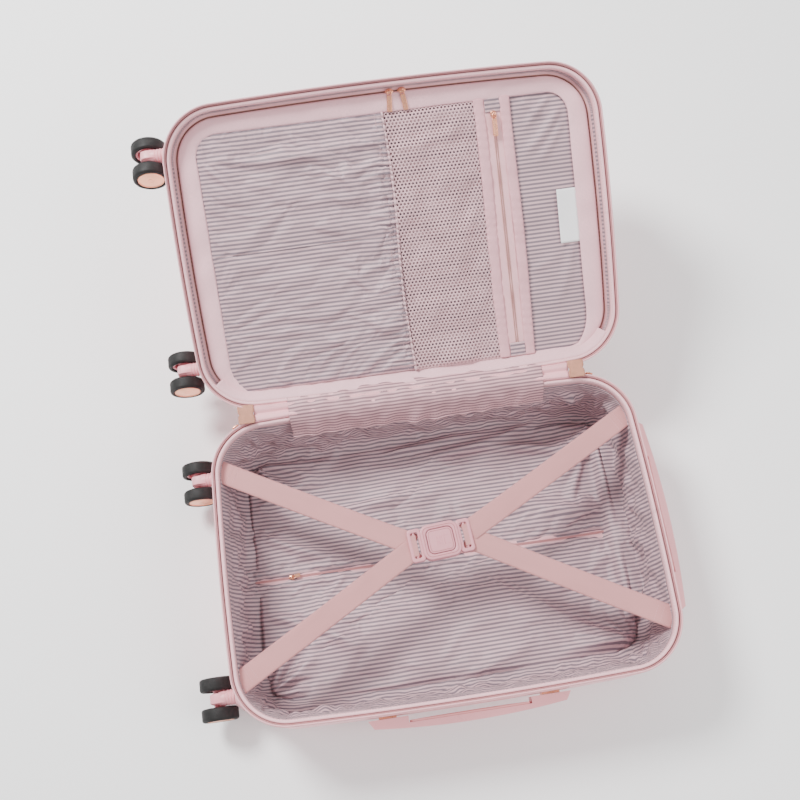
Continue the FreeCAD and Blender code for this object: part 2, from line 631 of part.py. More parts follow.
def bracket(index, axis, x, y, z):
    """A plate outside the wall, a stud that the grip slides on, and a nut inside the wall."""
    facing = {"x": 1, "y": -1}[axis]
    dip = {"x": "stud_spacing ^ 2 / (8 * end_arc)", "y": "stud_spacing ^ 2 / (8 * side_arc)"}[axis]
    face = {"x": x, "y": y}[axis]

    def span(near, far):
        """A stretch from inside the wall's face to outside it, low end first."""
        low, high = (near, far) if facing > 0 else ("-(%s)" % far, "-(%s)" % near)
        return "%s + %s" % (face, low), "%s + %s" % (face, high)

    def bar(name, radius, near, far):
        low, high = span(near, far)
        start = {"x": (low, y), "y": (x, low)}[axis]
        return rod("%s_%d" % (name, index), radius, "(%s) - (%s)" % (high, low), axis, *start, z)

    low, high = span("-3", "1.5")
    wide = {"x": (low, high, y + " - 10", y + " + 10"), "y": (x + " - 10", x + " + 10", low, high)}[axis]
    plate = box("plate_%d" % index, *wide, z + " - 9", z + " + 9")
    outside = cut("plate_outside_%d" % index, plate, wall_form)
    stud = bar("stud", "stud_radius", "-rear_wall - 2.4 - " + dip, "stud_reach")
    nut = bar("nut", "2 * stud_radius", "-rear_wall - 2.4 - " + dip, "-rear_wall - 0.2 - " + dip)
    return fuse("bracket_%d" % index, outside, stud, nut)


group("handle_brackets", *[bracket(index, *where) for index, where in enumerate(stud_places())])

# ---------------------------------------------------------------- cross straps and their buckle
BUCKLE = Placement(Vector(0, number("buckle_middle"), number("buckle_level")),
                   Rotation(Vector(0, 0, 1), number("buckle_turn")))


def strap(side, up, level):
    """A flat strap from the rim's inner edge to the buckle's frame."""
    end = BUCKLE.multVec(Vector(side * number("buckle_length / 2 + buckle_frame + 9"), 0, 0))
    anchor = Vector(side * number("anchor_x"), up * number("anchor_y"), end.z)
    run = anchor - end
    flat = doc.addObject("Part::Box", "strap")
    flat.Length = run.Length
    bind(flat, Width="strap_width", Height="strap_skin")
    turn = Rotation(Vector(0, 0, 1), math.degrees(math.atan2(run.y, run.x)))
    corner = turn.multVec(Vector(0, -number("strap_width / 2"), 0))
    flat.Placement = Placement(Vector(end.x, end.y, level) + corner, turn)
    return flat


low_strap = number("strap_level")
high_strap = low_strap + number("strap_skin + 0.2")
group("cross_straps", strap(-1, 1, low_strap), strap(-1, -1, high_strap), strap(1, -1, low_strap),
      strap(1, 1, high_strap))


def adjuster(label, side):
    """The slotted frame at one end of the buckle that a strap is threaded through."""
    near, far = "buckle_length / 2", "buckle_length / 2 + buckle_frame"
    slot = near + " + 3", far + " - 3"
    if side < 0:
        near, far = "-(%s)" % far, "-(%s)" % near
        slot = "-(%s)" % slot[1], "-(%s)" % slot[0]
    frame = box(label + "_frame", near, far, "-buckle_width / 2", "buckle_width / 2", "buckle_wall",
                "buckle_height - buckle_wall")
    opening = box(label + "_slot", *slot, "-strap_width / 2 - 1.5", "strap_width / 2 + 1.5", "0", "buckle_height")
    return cut(label, frame, opening)


case = box("socket_case", "-buckle_length / 2", "buckle_length / 2 - 0.3", "-buckle_width / 2",
           "buckle_width / 2", "0", "buckle_height")
tongue_room = box("tongue_room", "-buckle_length / 4", "buckle_length", "-buckle_width / 2 + 4",
                  "buckle_width / 2 - 4", "buckle_wall", "buckle_height - 2 * buckle_wall")
button_well = box("button_well", "-buckle_length / 3", "buckle_length / 3", "-buckle_width / 3",
                  "buckle_width / 3", "buckle_height - 2 * buckle_wall", "buckle_height + 1")
socket = fuse("socket_solid", cut("socket_shell", case, tongue_room, button_well), adjuster("left_adjuster", -1))
keep(socket, BUCKLE).Label = "buckle_socket"
tongue = box("tongue", "-buckle_length / 4 + 1", "buckle_length / 2 + 1", "-buckle_width / 2 + 4.4",
             "buckle_width / 2 - 4.4", "buckle_wall + 0.4", "buckle_height - 2 * buckle_wall - 0.4")
keep(fuse("buckle_plug", tongue, adjuster("right_adjuster", 1)), BUCKLE)
button = box("button_plate", "-buckle_length / 3 + 0.4", "buckle_length / 3 - 0.4", "-buckle_width / 3 + 0.4",
             "buckle_width / 3 - 0.4", "buckle_height - 2 * buckle_wall + 1.6", "buckle_height + 0.2")
group("buckle_button", button, place_at=BUCKLE)


# ---------------------------------------------------------------- zips
def slider(label, x, y, z, along, travel_axis):
    """A slider over the coil with its pull; the pull points along one axis."""
    wide, long = ("zip_width / 6", "zip_width / 5")
    half_x, half_y = {"x": (long, wide), "y": (wide, long)}[travel_axis]
    body = box(label + "_body", "%s - %s" % (x, half_x), "%s + %s" % (x, half_x), "%s - %s" % (y, half_y),
               "%s + %s" % (y, half_y), z, z + " + 3")
    reach, half_pull = "%d * pull_length" % along[1], "pull_width / 2"
    if along[0] == "x":
        ends = ("%s" % x, "%s + %s" % (x, reach)) if along[1] > 0 else ("%s + %s" % (x, reach), "%s" % x)
        sides = (y + " - " + half_pull, y + " + " + half_pull)
        pull = box(label + "_pull", *ends, *sides, z + " + 1", z + " + 2.4")
    else:
        ends = ("%s" % y, "%s + %s" % (y, reach)) if along[1] > 0 else ("%s + %s" % (y, reach), "%s" % y)
        sides = (x + " - " + half_pull, x + " + " + half_pull)
        pull = box(label + "_pull", *sides, *ends, z + " + 1", z + " + 2.4")
    return fuse(label, body, pull)


floor = "tub_floor + lining_wall"
tape = box("floor_tape", "-zip_length / 2", "cup_start - 4", "-zip_width / 2", "zip_width / 2", floor,
           floor + " + zip_skin")
coil = box("floor_coil", "-zip_length / 2", "cup_start - 4", "-coil_width / 2", "coil_width / 2",
           floor + " + zip_skin", floor + " + 2 * zip_skin")
keep(fuse("lining_zip_tape", tape, coil))
keep(slider("lining_zip_slider", "-178", "0", floor + " + 2 * zip_skin + 0.2", ("x", 1), "x"))


def rim_slider(label, x):
    """A main slider parked on the outside of the zip beside its end tab, its pull hanging down."""
    near = hinge_side_strip(label + "_body", "0.3", "2.6", "half_depth - 2", "half_depth + 5.4", x + " - 4.5",
                            x + " + 4.5")
    pull = hinge_side_strip(label + "_pull", "0.8", "2.2", "half_depth - 24", "half_depth - 2", x + " - 3.5",
                            x + " + 3.5")
    return fuse(label, near, pull)


group("main_zip_sliders", rim_slider("main_slider_left", "-tab_middle - hinge_shift - tab_width / 2 - 5"),
      rim_slider("main_slider_right", "tab_middle - hinge_shift + tab_width / 2 + 5"))

# ---------------------------------------------------------------- hinge flap
keep(box("hinge_flap", "-flap_length / 2 - 3", "flap_length / 2 - 3", "case_width / 2 - 7 - flap_reach",
         "case_width / 2 - 7", "half_depth + binding_rise + 0.3", "half_depth + binding_rise + 0.3 + flap_skin"))

# ---------------------------------------------------------------- lid divider and its pockets
hinge_line = "-case_width / 2 + divider_inset + divider_hinge_gap"
top = "divider_level + divider_skin"
beyond = box("divider_window", "-case_length", "case_length", hinge_line + " + divider_fold", "case_width",
             "0", "half_depth")
hinge_edge = box("divider_hinge_edge", "-fold_half_width", "fold_half_width", hinge_line,
                 hinge_line + " + divider_fold", "0", "half_depth")
panel_window = fuse("panel_window", beyond, hinge_edge)
keep(common("divider_panel", plug("divider_form", "divider_inset", "divider_level", top), panel_window), LID)
zip_window = box("divider_zip_window", "-case_length", "case_length", hinge_line + " + 10", "case_width", "0",
                 "half_depth")
flat = ring("divider_tape_band", "front_wall + lining_gap + lining_wall", "divider_inset - 0.4", "divider_level",
            "divider_level + zip_skin")
teeth = ring("divider_coil_band", "divider_inset - 0.4 - coil_width", "divider_inset - 0.4",
             "divider_level + zip_skin", "divider_level + 2 * zip_skin")
keep(common("divider_zip_tape", fuse("divider_zip_band", flat, teeth), zip_window), LID)
low_y, high_y = hinge_line + " + 6", "case_width / 2 - divider_inset - divider_border"
for label, start, stop, skin in (("gathered_pocket", "gathered_start", "pocket_split", "pocket_skin"),
                                 ("mesh_pocket", "pocket_split + 0.3", "mesh_edge", "mesh_skin")):
    group(label, box(label + "_sheet", start, stop, low_y, high_y, top, top + " + " + skin), place_at=LID)
strip = box("pocket_tape", "mesh_edge + 0.3", "strip_edge", low_y, high_y, top, top + " + zip_skin")
middle = "(mesh_edge + strip_edge) / 2"
strip_coil = box("pocket_coil", middle + " - coil_width / 2", middle + " + coil_width / 2", low_y, high_y,
                 top + " + zip_skin", top + " + 2 * zip_skin")
keep(fuse("pocket_zip_tape", strip, strip_coil), LID)
keep(slider("pocket_zip_slider", middle, high_y + " - 12", top + " + 2 * zip_skin + 0.2", ("y", -1), "y"), LID)
coil_line = "case_width / 2 - divider_inset + 0.4 + coil_width / 2"
group("divider_zip_sliders", *[slider("divider_slider_" + side, x, coil_line, "divider_level + 2 * zip_skin + 0.2",
                                      ("y", -1), "x")
                               for side, x in (("left", "divider_slider_middle - 7"),
                                               ("right", "divider_slider_middle + 7"))], place_at=LID)
group("care_label", box("label_sheet", "label_edge - label_length", "label_edge", "-label_width / 2",
                        "label_width / 2", top, top + " + 0.5"), place_at=LID)

# ---------------------------------------------------------------- check and write every node
doc.recompute()
for item in doc.Objects:
    if "Invalid" in item.State or "Error" in item.State:
        raise ValueError("%s did not build: %s" % (item.Label, item.State))
for node in nodes:
    if node.Shape.isNull() or not node.Shape.isValid() or not node.Shape.Solids:
        raise ValueError("%s has no valid solid" % node.Label)
os.makedirs("parts", exist_ok=True)
for node in nodes:
    node.Shape.exportStep("parts/%s.step" % node.Label)
print(len(nodes), "nodes")
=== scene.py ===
import json
import math

import bmesh
import bpy
import numpy as np
from mathutils import Matrix, Vector


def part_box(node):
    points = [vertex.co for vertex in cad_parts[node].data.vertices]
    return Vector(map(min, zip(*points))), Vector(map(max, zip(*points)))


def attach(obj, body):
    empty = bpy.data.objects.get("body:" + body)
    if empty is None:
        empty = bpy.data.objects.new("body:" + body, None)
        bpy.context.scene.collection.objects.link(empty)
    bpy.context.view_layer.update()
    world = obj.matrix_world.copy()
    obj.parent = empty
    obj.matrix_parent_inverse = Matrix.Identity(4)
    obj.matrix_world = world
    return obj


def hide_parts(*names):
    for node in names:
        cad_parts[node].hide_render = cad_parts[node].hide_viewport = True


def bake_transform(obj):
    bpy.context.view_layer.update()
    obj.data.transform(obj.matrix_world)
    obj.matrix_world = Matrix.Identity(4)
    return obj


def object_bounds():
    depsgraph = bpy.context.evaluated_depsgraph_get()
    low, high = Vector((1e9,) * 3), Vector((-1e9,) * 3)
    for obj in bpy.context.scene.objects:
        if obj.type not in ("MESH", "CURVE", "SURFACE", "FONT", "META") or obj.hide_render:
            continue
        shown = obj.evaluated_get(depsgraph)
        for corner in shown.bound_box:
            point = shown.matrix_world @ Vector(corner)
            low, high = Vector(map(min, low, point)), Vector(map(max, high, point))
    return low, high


# Hard shell suitcase, open: the linings, zips, straps, piping and soft pieces round the CAD frame,
# and the materials of every surface. Lengths here are millimetres, and MM turns them into metres.

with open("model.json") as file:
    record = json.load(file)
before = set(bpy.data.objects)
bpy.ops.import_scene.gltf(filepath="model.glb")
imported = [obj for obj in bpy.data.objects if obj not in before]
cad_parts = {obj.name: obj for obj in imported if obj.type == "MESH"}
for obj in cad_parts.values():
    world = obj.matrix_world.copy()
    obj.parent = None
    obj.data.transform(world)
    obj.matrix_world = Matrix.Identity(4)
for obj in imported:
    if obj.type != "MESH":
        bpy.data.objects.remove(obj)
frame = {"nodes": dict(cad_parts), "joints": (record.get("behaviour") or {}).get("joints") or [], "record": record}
cad_box = [list(corner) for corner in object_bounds()]
MM = 0.001

# ---------------------------------------------------------------- places read from the frame
HALF_LENGTH, HALF_WIDTH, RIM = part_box("rear_shell")[1] / MM
LID_HINGE = next(joint for joint in frame["joints"] if joint["name"] == "lid_hinge")
HINGE = Vector(LID_HINGE["pos_m"]) / MM
LEAN = math.radians(30)
LID = Matrix.Translation(HINGE) @ Matrix.Rotation(LEAN, 4, "X") @ Matrix.Translation((0, HINGE.y, -HINGE.z))
CORNER, END_BOW, SIDE_BOW = 63, 3520, 5300
HINGE_LINE = 19 - HALF_WIDTH
DIVIDER_TOP = 106
TUB_FLOOR, LID_FLOOR = 24.6, 7.2


# ---------------------------------------------------------------- the case's plan outline
def quarter_outline(step=1.5):
    """Points and outward normals of the first quarter: bowed end, corner arc, bowed side."""
    end, side = np.array([HALF_LENGTH - END_BOW, 0]), np.array([0, HALF_WIDTH - SIDE_BOW])
    span = side - end
    length = np.hypot(*span)
    along = ((END_BOW - CORNER) ** 2 - (SIDE_BOW - CORNER) ** 2 + length ** 2) / (2 * length)
    across = math.sqrt((END_BOW - CORNER) ** 2 - along ** 2)
    unit = span / length
    corner = end + unit * along + np.array([-unit[1], unit[0]]) * across
    first = math.atan2(corner[1], corner[0] - end[0])
    last = math.pi / 2 - math.atan2(corner[0], corner[1] - side[1])
    points, normals = [], []
    for centre, radius, start, stop in ((end, END_BOW, 0, first), (corner, CORNER, first, last),
                                        (side, SIDE_BOW, last, math.pi / 2)):
        turns = np.linspace(start, stop, max(3, int(radius * (stop - start) / step)), endpoint=False)
        normal = np.stack([np.cos(turns), np.sin(turns)], 1)
        points.append(centre + radius * normal)
        normals.append(normal)
    return np.concatenate(points), np.concatenate(normals), (first + last) / 2, corner


def whole_outline():
    """The closed outline from +X anticlockwise: points, normals, running length and the corner middles."""
    points, normals, middle, corner = quarter_outline()
    flips = [(1, 1, False), (-1, 1, True), (-1, -1, False), (1, -1, True)]
    rows = [(points[::-1] if back else points) * (x, y) for x, y, back in flips]
    turned = [(normals[::-1] if back else normals) * (x, y) for x, y, back in flips]
    points, normals = np.concatenate(rows), np.concatenate(turned)
    points, normals = np.vstack([points, points[:1]]), np.vstack([normals, normals[:1]])
    lengths = np.r_[0, np.cumsum(np.hypot(*np.diff(points, axis=0).T))]
    tips = [corner * flip + CORNER * np.array([math.cos(middle), math.sin(middle)]) * flip
            for flip in ((1, 1), (-1, 1), (-1, -1), (1, -1))]
    marks = [lengths[np.argmin(np.hypot(*(points - tip).T))] for tip in tips]
    return points, normals, lengths, marks


def run_along(path):
    """The running length at each point of a path."""
    return np.r_[0, np.cumsum(np.linalg.norm(np.diff(path, axis=0), axis=1))]


def sample(marks, run, path):
    """The places at given marks along a path whose points have the running lengths in run."""
    return np.stack([np.interp(marks, run, column) for column in path.T], -1)


OUTLINE, NORMALS, RUN, CORNERS = whole_outline()
LOOP = RUN[-1]


def round_case(run, inset):
    """Points in plan at a running length round the case and a distance in from its face, and normals."""
    run = np.asarray(run) % LOOP
    point = sample(run, RUN, OUTLINE)
    normal = sample(run, RUN, NORMALS)
    normal /= np.linalg.norm(normal, axis=-1, keepdims=True)
    return point - np.asarray(inset)[..., None] * normal, normal


def disc_grid(rings):
    """A square grid laid over the case: each point's share of the way out, and its running length."""
    across, up = np.meshgrid(np.arange(-rings, rings + 1), np.arange(-rings, rings + 1), indexing="ij")
    ring = np.maximum(abs(across), abs(up))
    safe = np.maximum(ring, 1)
    first, second, third, fourth = CORNERS
    stretches = ((across == ring, fourth - LOOP, first, (up / safe + 1) / 2),
                 (up == ring, first, second, (1 - across / safe) / 2),
                 (across == -ring, second, third, (1 - up / safe) / 2),
                 (up == -ring, third, fourth, (across / safe + 1) / 2))
    run = np.zeros(ring.shape)
    for where, start, stop, share in reversed(stretches):
        run = np.where(where, start + (stop - start) * share, run)
    return ring / rings, run


# ---------------------------------------------------------------- mesh helpers
def on_grid(*places):
    """Coordinates of different shapes, spread over one grid of points."""
    return np.stack(np.broadcast_arrays(*places), -1)


def grid_faces(rows, columns, wrap=False, turn=False):
    index = np.arange(rows * columns).reshape(rows, columns)
    if wrap:
        index = np.hstack([index, index[:, :1]])
    if turn:
        index = np.vstack([index, index[:1]])
    quads = np.stack([index[:-1, :-1], index[1:, :-1], index[1:, 1:], index[:-1, 1:]], -1)
    return quads.reshape(-1, 4).tolist()


def make(name, points, faces, material, body, uv=None, at=None, replaces=(), sharp=None):
    """A mesh piece that rides on a CAD body. Its cloth map holds places on the cloth, in metres."""
    points = np.asarray(points, float).reshape(-1, 3)
    if at is not None:
        turn = np.array(at)
        points = points @ turn[:3, :3].T + turn[:3, 3]
    mesh = bpy.data.meshes.new(name)
    mesh.from_pydata((points * MM).tolist(), [], faces)
    if uv is not None:
        corners = np.zeros(len(mesh.loops), np.int32)
        mesh.loops.foreach_get("vertex_index", corners)
        layer = mesh.uv_layers.new(name="cloth")
        layer.data.foreach_set("uv", (np.asarray(uv, float).reshape(-1, 2)[corners] * MM).ravel())
    mesh.shade_smooth()
    if sharp:
        mesh.set_sharp_from_angle(angle=math.radians(sharp))
    mesh.materials.append(material)
    piece = bpy.data.objects.new(name, mesh)
    bpy.context.scene.collection.objects.link(piece)
    if body:
        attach(piece, body)
    if replaces:
        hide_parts(*replaces)
    return piece


def outward(piece):
    """Turn a closed piece's faces outwards."""
    work = bmesh.new()
    work.from_mesh(piece.data)
    bmesh.ops.recalc_face_normals(work, faces=work.faces)
    work.to_mesh(piece.data)
    work.free()
    return piece


def thicken(piece, thickness, offset=-1):
    """Give a cloth or strap its thickness."""
    skin = piece.modifiers.new("Thickness", "SOLIDIFY")
    skin.thickness, skin.offset = thickness * MM, offset
    return piece


def band(name, profile, material, body, at=None, step=5, ribs=0, depth=0, span=None, replaces=()):
    """A closed strip swept round the case. The profile is (inset, height) pairs; ribs is their pitch."""
    start, stop = span or (0, LOOP)
    run = np.linspace(start, stop, int((stop - start) / step) + 1)
    if not span:
        run = run[:-1]
    profile = np.asarray(profile, float)
    middle = profile.mean(0)
    swell = depth * (0.5 - 0.5 * np.cos(2 * math.pi * run / ribs)) if ribs else np.zeros(len(run))
    away = profile - middle
    away /= np.maximum(np.linalg.norm(away, axis=1, keepdims=True), 1e-6)
    shape = profile[None] - away[None] * swell[:, None, None]
    plan, _ = round_case(np.repeat(run[:, None], len(profile), 1), shape[..., 0])
    points = np.concatenate([plan, shape[..., 1:]], -1)
    girth = run_along(profile)
    uv = on_grid(run[:, None], girth[None])
    faces = grid_faces(len(run), len(profile), wrap=True, turn=not span)
    if span:
        last = (len(run) - 1) * len(profile)
        faces += [list(range(len(profile))), [last + index for index in range(len(profile))][::-1]]
    return outward(make(name, points, faces, material, body, uv, at, replaces))


def rounded(low_inset, high_inset, low_z, high_z, radius, steps=3):
    """A rounded rectangle as (inset, height) pairs."""
    pairs = []
    near, far = low_inset + radius, high_inset - radius
    low, high = low_z + radius, high_z - radius
    for inset, height, first in ((far, high, 0), (near, high, 1), (near, low, 2), (far, low, 3)):
        for turn in np.linspace(first, first + 1, steps + 1) * math.pi / 2:
            pairs.append((inset + radius * math.cos(turn), height + radius * math.sin(turn)))
    return pairs


def rounded_plan(half_x, half_y, radius, steps=6, middle=(0, 0)):
    """A rounded rectangle in plan."""
    return np.array(rounded(-half_x, half_x, -half_y, half_y, radius, steps)) + middle


def shrink(plan, distance):
    """A convex plan outline set in by a distance."""
    before, after = np.roll(plan, 1, 0), np.roll(plan, -1, 0)
    along = after - before
    along /= np.maximum(np.linalg.norm(along, axis=1, keepdims=True), 1e-9)
    return plan - distance * np.stack([along[:, 1], -along[:, 0]], 1)


def slab(name, plan, low, high, bevel, material, body, at=None, replaces=(), steps=3, crown=0):
    """A plate with rounded edges, from its plan outline; crown lifts the middle of its top."""
    levels = [(bevel, low), *[(bevel * (1 - math.sin(turn)), low + bevel * (1 - math.cos(turn)))
                              for turn in np.linspace(0, math.pi / 2, steps + 1)[1:]],
              *[(bevel * (1 - math.cos(turn)), high - bevel * (1 - math.sin(turn)))
                for turn in np.linspace(0, math.pi / 2, steps + 1)]]
    rings = [np.c_[shrink(plan, inset), np.full(len(plan), level)] for inset, level in levels]
    if crown:
        inner = shrink(plan, bevel)
        middle = inner.mean(0)
        for share in (0.8, 0.5, 0.2):
            rings.append(np.c_[middle + (inner - middle) * share,
                               np.full(len(plan), high + crown * (1 - share ** 2))])
    points = np.concatenate(rings)
    count = len(plan)
    faces = grid_faces(len(rings), count, wrap=True)
    faces += [list(range(count)), [(len(rings) - 1) * count + index for index in range(count)]]
    return outward(make(name, points, faces, material, body, points[:, :2], at, replaces, sharp=50))


def frame_slab(name, outer, inner, low, high, bevel, material, body, at=None, replaces=()):
    """A plate with a hole, its edges rounded. Both outlines have as many points."""
    turns = np.linspace(0, math.pi / 2, 4)
    loop = [(1, bevel * (1 - math.sin(turn)), low + bevel * (1 - math.cos(turn))) for turn in turns]
    loop += [(1, bevel * (1 - math.cos(turn)), high - bevel * (1 - math.sin(turn))) for turn in turns]
    loop += [(-1, bevel * (1 - math.sin(turn)), high - bevel * (1 - math.cos(turn))) for turn in turns]
    loop += [(-1, bevel * (1 - math.cos(turn)), low + bevel * (1 - math.sin(turn))) for turn in turns]
    rings = [np.c_[shrink(outer if side > 0 else inner, side * inset), np.full(len(outer), level)]
             for side, inset, level in loop]
    points = np.concatenate(rings)
    faces = grid_faces(len(rings), len(outer), wrap=True, turn=True)
    return outward(make(name, points, faces, material, body, None, at, replaces, sharp=50))


def lathe(name, profile, material, body, at, replaces=(), steps=48, sharp=35):
    """A turned piece about +Y of its own frame, from (radius, y) pairs; the profile closes on itself."""
    turns = np.linspace(0, 2 * math.pi, steps, endpoint=False)
    profile = np.asarray(profile, float)
    radius, height = profile[:, 0], profile[:, 1]
    points = np.stack([radius[None] * np.cos(turns)[:, None],
                       np.broadcast_to(height, (steps, len(profile))),
                       radius[None] * np.sin(turns)[:, None]], -1)
    faces = grid_faces(steps, len(profile), wrap=True, turn=True)
    piece = make(name, points, faces, material, body, None, at, replaces, sharp=sharp)
    work = bmesh.new()
    work.from_mesh(piece.data)
    bmesh.ops.remove_doubles(work, verts=work.verts, dist=1e-6)
    bmesh.ops.recalc_face_normals(work, faces=work.faces)
    work.to_mesh(piece.data)
    work.free()
    return piece


def rod_along(name, path, radius, material, body, at=None, steps=8, closed=False):
    """A round cord or wire swept along a path of 3D points."""
    path = np.asarray(path, float)
    ahead = np.roll(path, -1, 0) - np.roll(path, 1, 0)
    if not closed:
        ahead[0], ahead[-1] = path[1] - path[0], path[-1] - path[-2]
    ahead /= np.linalg.norm(ahead, axis=1, keepdims=True)
    side = np.cross(ahead, (0, 0, 1.0))
    side[np.linalg.norm(side, axis=1) < 0.1] = (1, 0, 0)
    side /= np.linalg.norm(side, axis=1, keepdims=True)
    up = np.cross(side, ahead)
    turns = np.linspace(0, 2 * math.pi, steps, endpoint=False)
    radius = np.broadcast_to(radius, len(path))[:, None, None]
    points = path[:, None] + radius * (side[:, None] * np.cos(turns)[None, :, None]
                                       + up[:, None] * np.sin(turns)[None, :, None])
    faces = grid_faces(len(path), steps, wrap=True, turn=closed)
    if not closed:
        last = (len(path) - 1) * steps
        faces += [list(range(steps)), [last + index for index in range(steps)]]
    return outward(make(name, points, faces, material, body, None, at))


def stitches(name, path, material, body, at=None, pitch=3.4, length=2.4, width=0.55):
    """A seam of separate stitches along a path of 3D points."""
    path = np.asarray(path, float)
    run = run_along(path)
    marks = np.arange(pitch / 2, run[-1] - pitch / 2, pitch)
    middle = sample(marks, run, path)
    ahead = sample(marks + 0.4, run, path) - middle
    ahead /= np.linalg.norm(ahead, axis=1, keepdims=True)
    side = np.cross(ahead, (0, 0, 1.0))
    side /= np.maximum(np.linalg.norm(side, axis=1, keepdims=True), 1e-6)
    up = np.cross(side, ahead)
    shape = [(-0.5, 0, 0), (-0.3, 1, 0), (-0.3, 0, 0.9), (-0.3, -1, 0), (-0.3, 0, -0.9),
             (0.3, 1, 0), (0.3, 0, 0.9), (0.3, -1, 0), (0.3, 0, -0.9), (0.5, 0, 0)]
    sides = [(0, 1, 2), (0, 2, 3), (0, 3, 4), (0, 4, 1), (9, 6, 5), (9, 7, 6), (9, 8, 7), (9, 5, 8),
             (1, 5, 6, 2), (2, 6, 7, 3), (3, 7, 8, 4), (4, 8, 5, 1)]
    shape = np.array(shape)
    points = (middle[:, None] + shape[None, :, :1] * length * ahead[:, None]
              + shape[None, :, 1:2] * width / 2 * side[:, None]
              + shape[None, :, 2:] * width / 2 * up[:, None])
    faces = [[10 * number + corner for corner in face] for number in range(len(marks)) for face in sides]
    return make(name, points, faces, material, body, None, at)


def cloth_grid(name, points, uv, material, body, at=None, replaces=(), thickness=0.5):
    """A cloth from a grid of points and its map, with a little thickness."""
    rows, columns = points.shape[:2]
    piece = make(name, points, grid_faces(rows, columns), material, body, uv, at, replaces)
    return thicken(piece, thickness)


# ---------------------------------------------------------------- folds and puckers in cloth
def waves(x, y, wavelength, seed, count=7, stretch=1.0):
    """Smooth noise of a given wavelength from seeded plane waves; stretch lengthens it along x."""
    draw = np.random.default_rng(seed)
    total = np.zeros(np.broadcast(x, y).shape)
    for _ in range(count):
        turn, phase = draw.uniform(0, 2 * math.pi, 2)
        pace = 2 * math.pi / (wavelength * draw.uniform(0.7, 1.5))
        total += np.sin(pace * (x * math.cos(turn) / stretch + y * math.sin(turn)) + phase)
    return total / math.sqrt(count)


def fold(x, y, start, stop, width, height, bend=0.0):
    """One soft ridge or valley from start to stop; its width grows towards the stop."""
    start, stop = np.asarray(start, float), np.asarray(stop, float)
    length = np.hypot(*(stop - start))
    ahead = (stop - start) / length
    along = ((x - start[0]) * ahead[0] + (y - start[1]) * ahead[1]) / length
    across = (y - start[1]) * ahead[0] - (x - start[0]) * ahead[1] - bend * np.sin(math.pi * along)
    ends = np.clip(along * 5, 0, 1) * np.clip((1 - along) * 3, 0, 1)
    ends = ends * ends * (3 - 2 * ends)
    spread = width * (0.6 + 0.8 * np.clip(along, 0, 1))
    return height * ends * np.exp(-(across / spread) ** 2)


def folds(x, y, *rows):
    """Several folds together; each row holds a start, a stop, a width, a height and perhaps a bend."""
    return sum(fold(x, y, *row) for row in rows)


def crumple(x, y, seed, count, area, length, width, height, tilt=0.6):
    """Several random folds over an area (low x, low y, high x, high y)."""
    draw = np.random.default_rng(seed)
    total = np.zeros(np.broadcast(x, y).shape)
    for _ in range(count):
        at = draw.uniform(area[:2], area[2:])
        turn = draw.normal(0, tilt)
        reach = draw.uniform(*length)
        stop = at + reach * np.array([math.cos(turn), math.sin(turn)])
        sign = draw.choice([-1, 1])
        total += fold(x, y, at, stop, draw.uniform(*width), sign * draw.uniform(*height), draw.normal(0, 4))
    return total


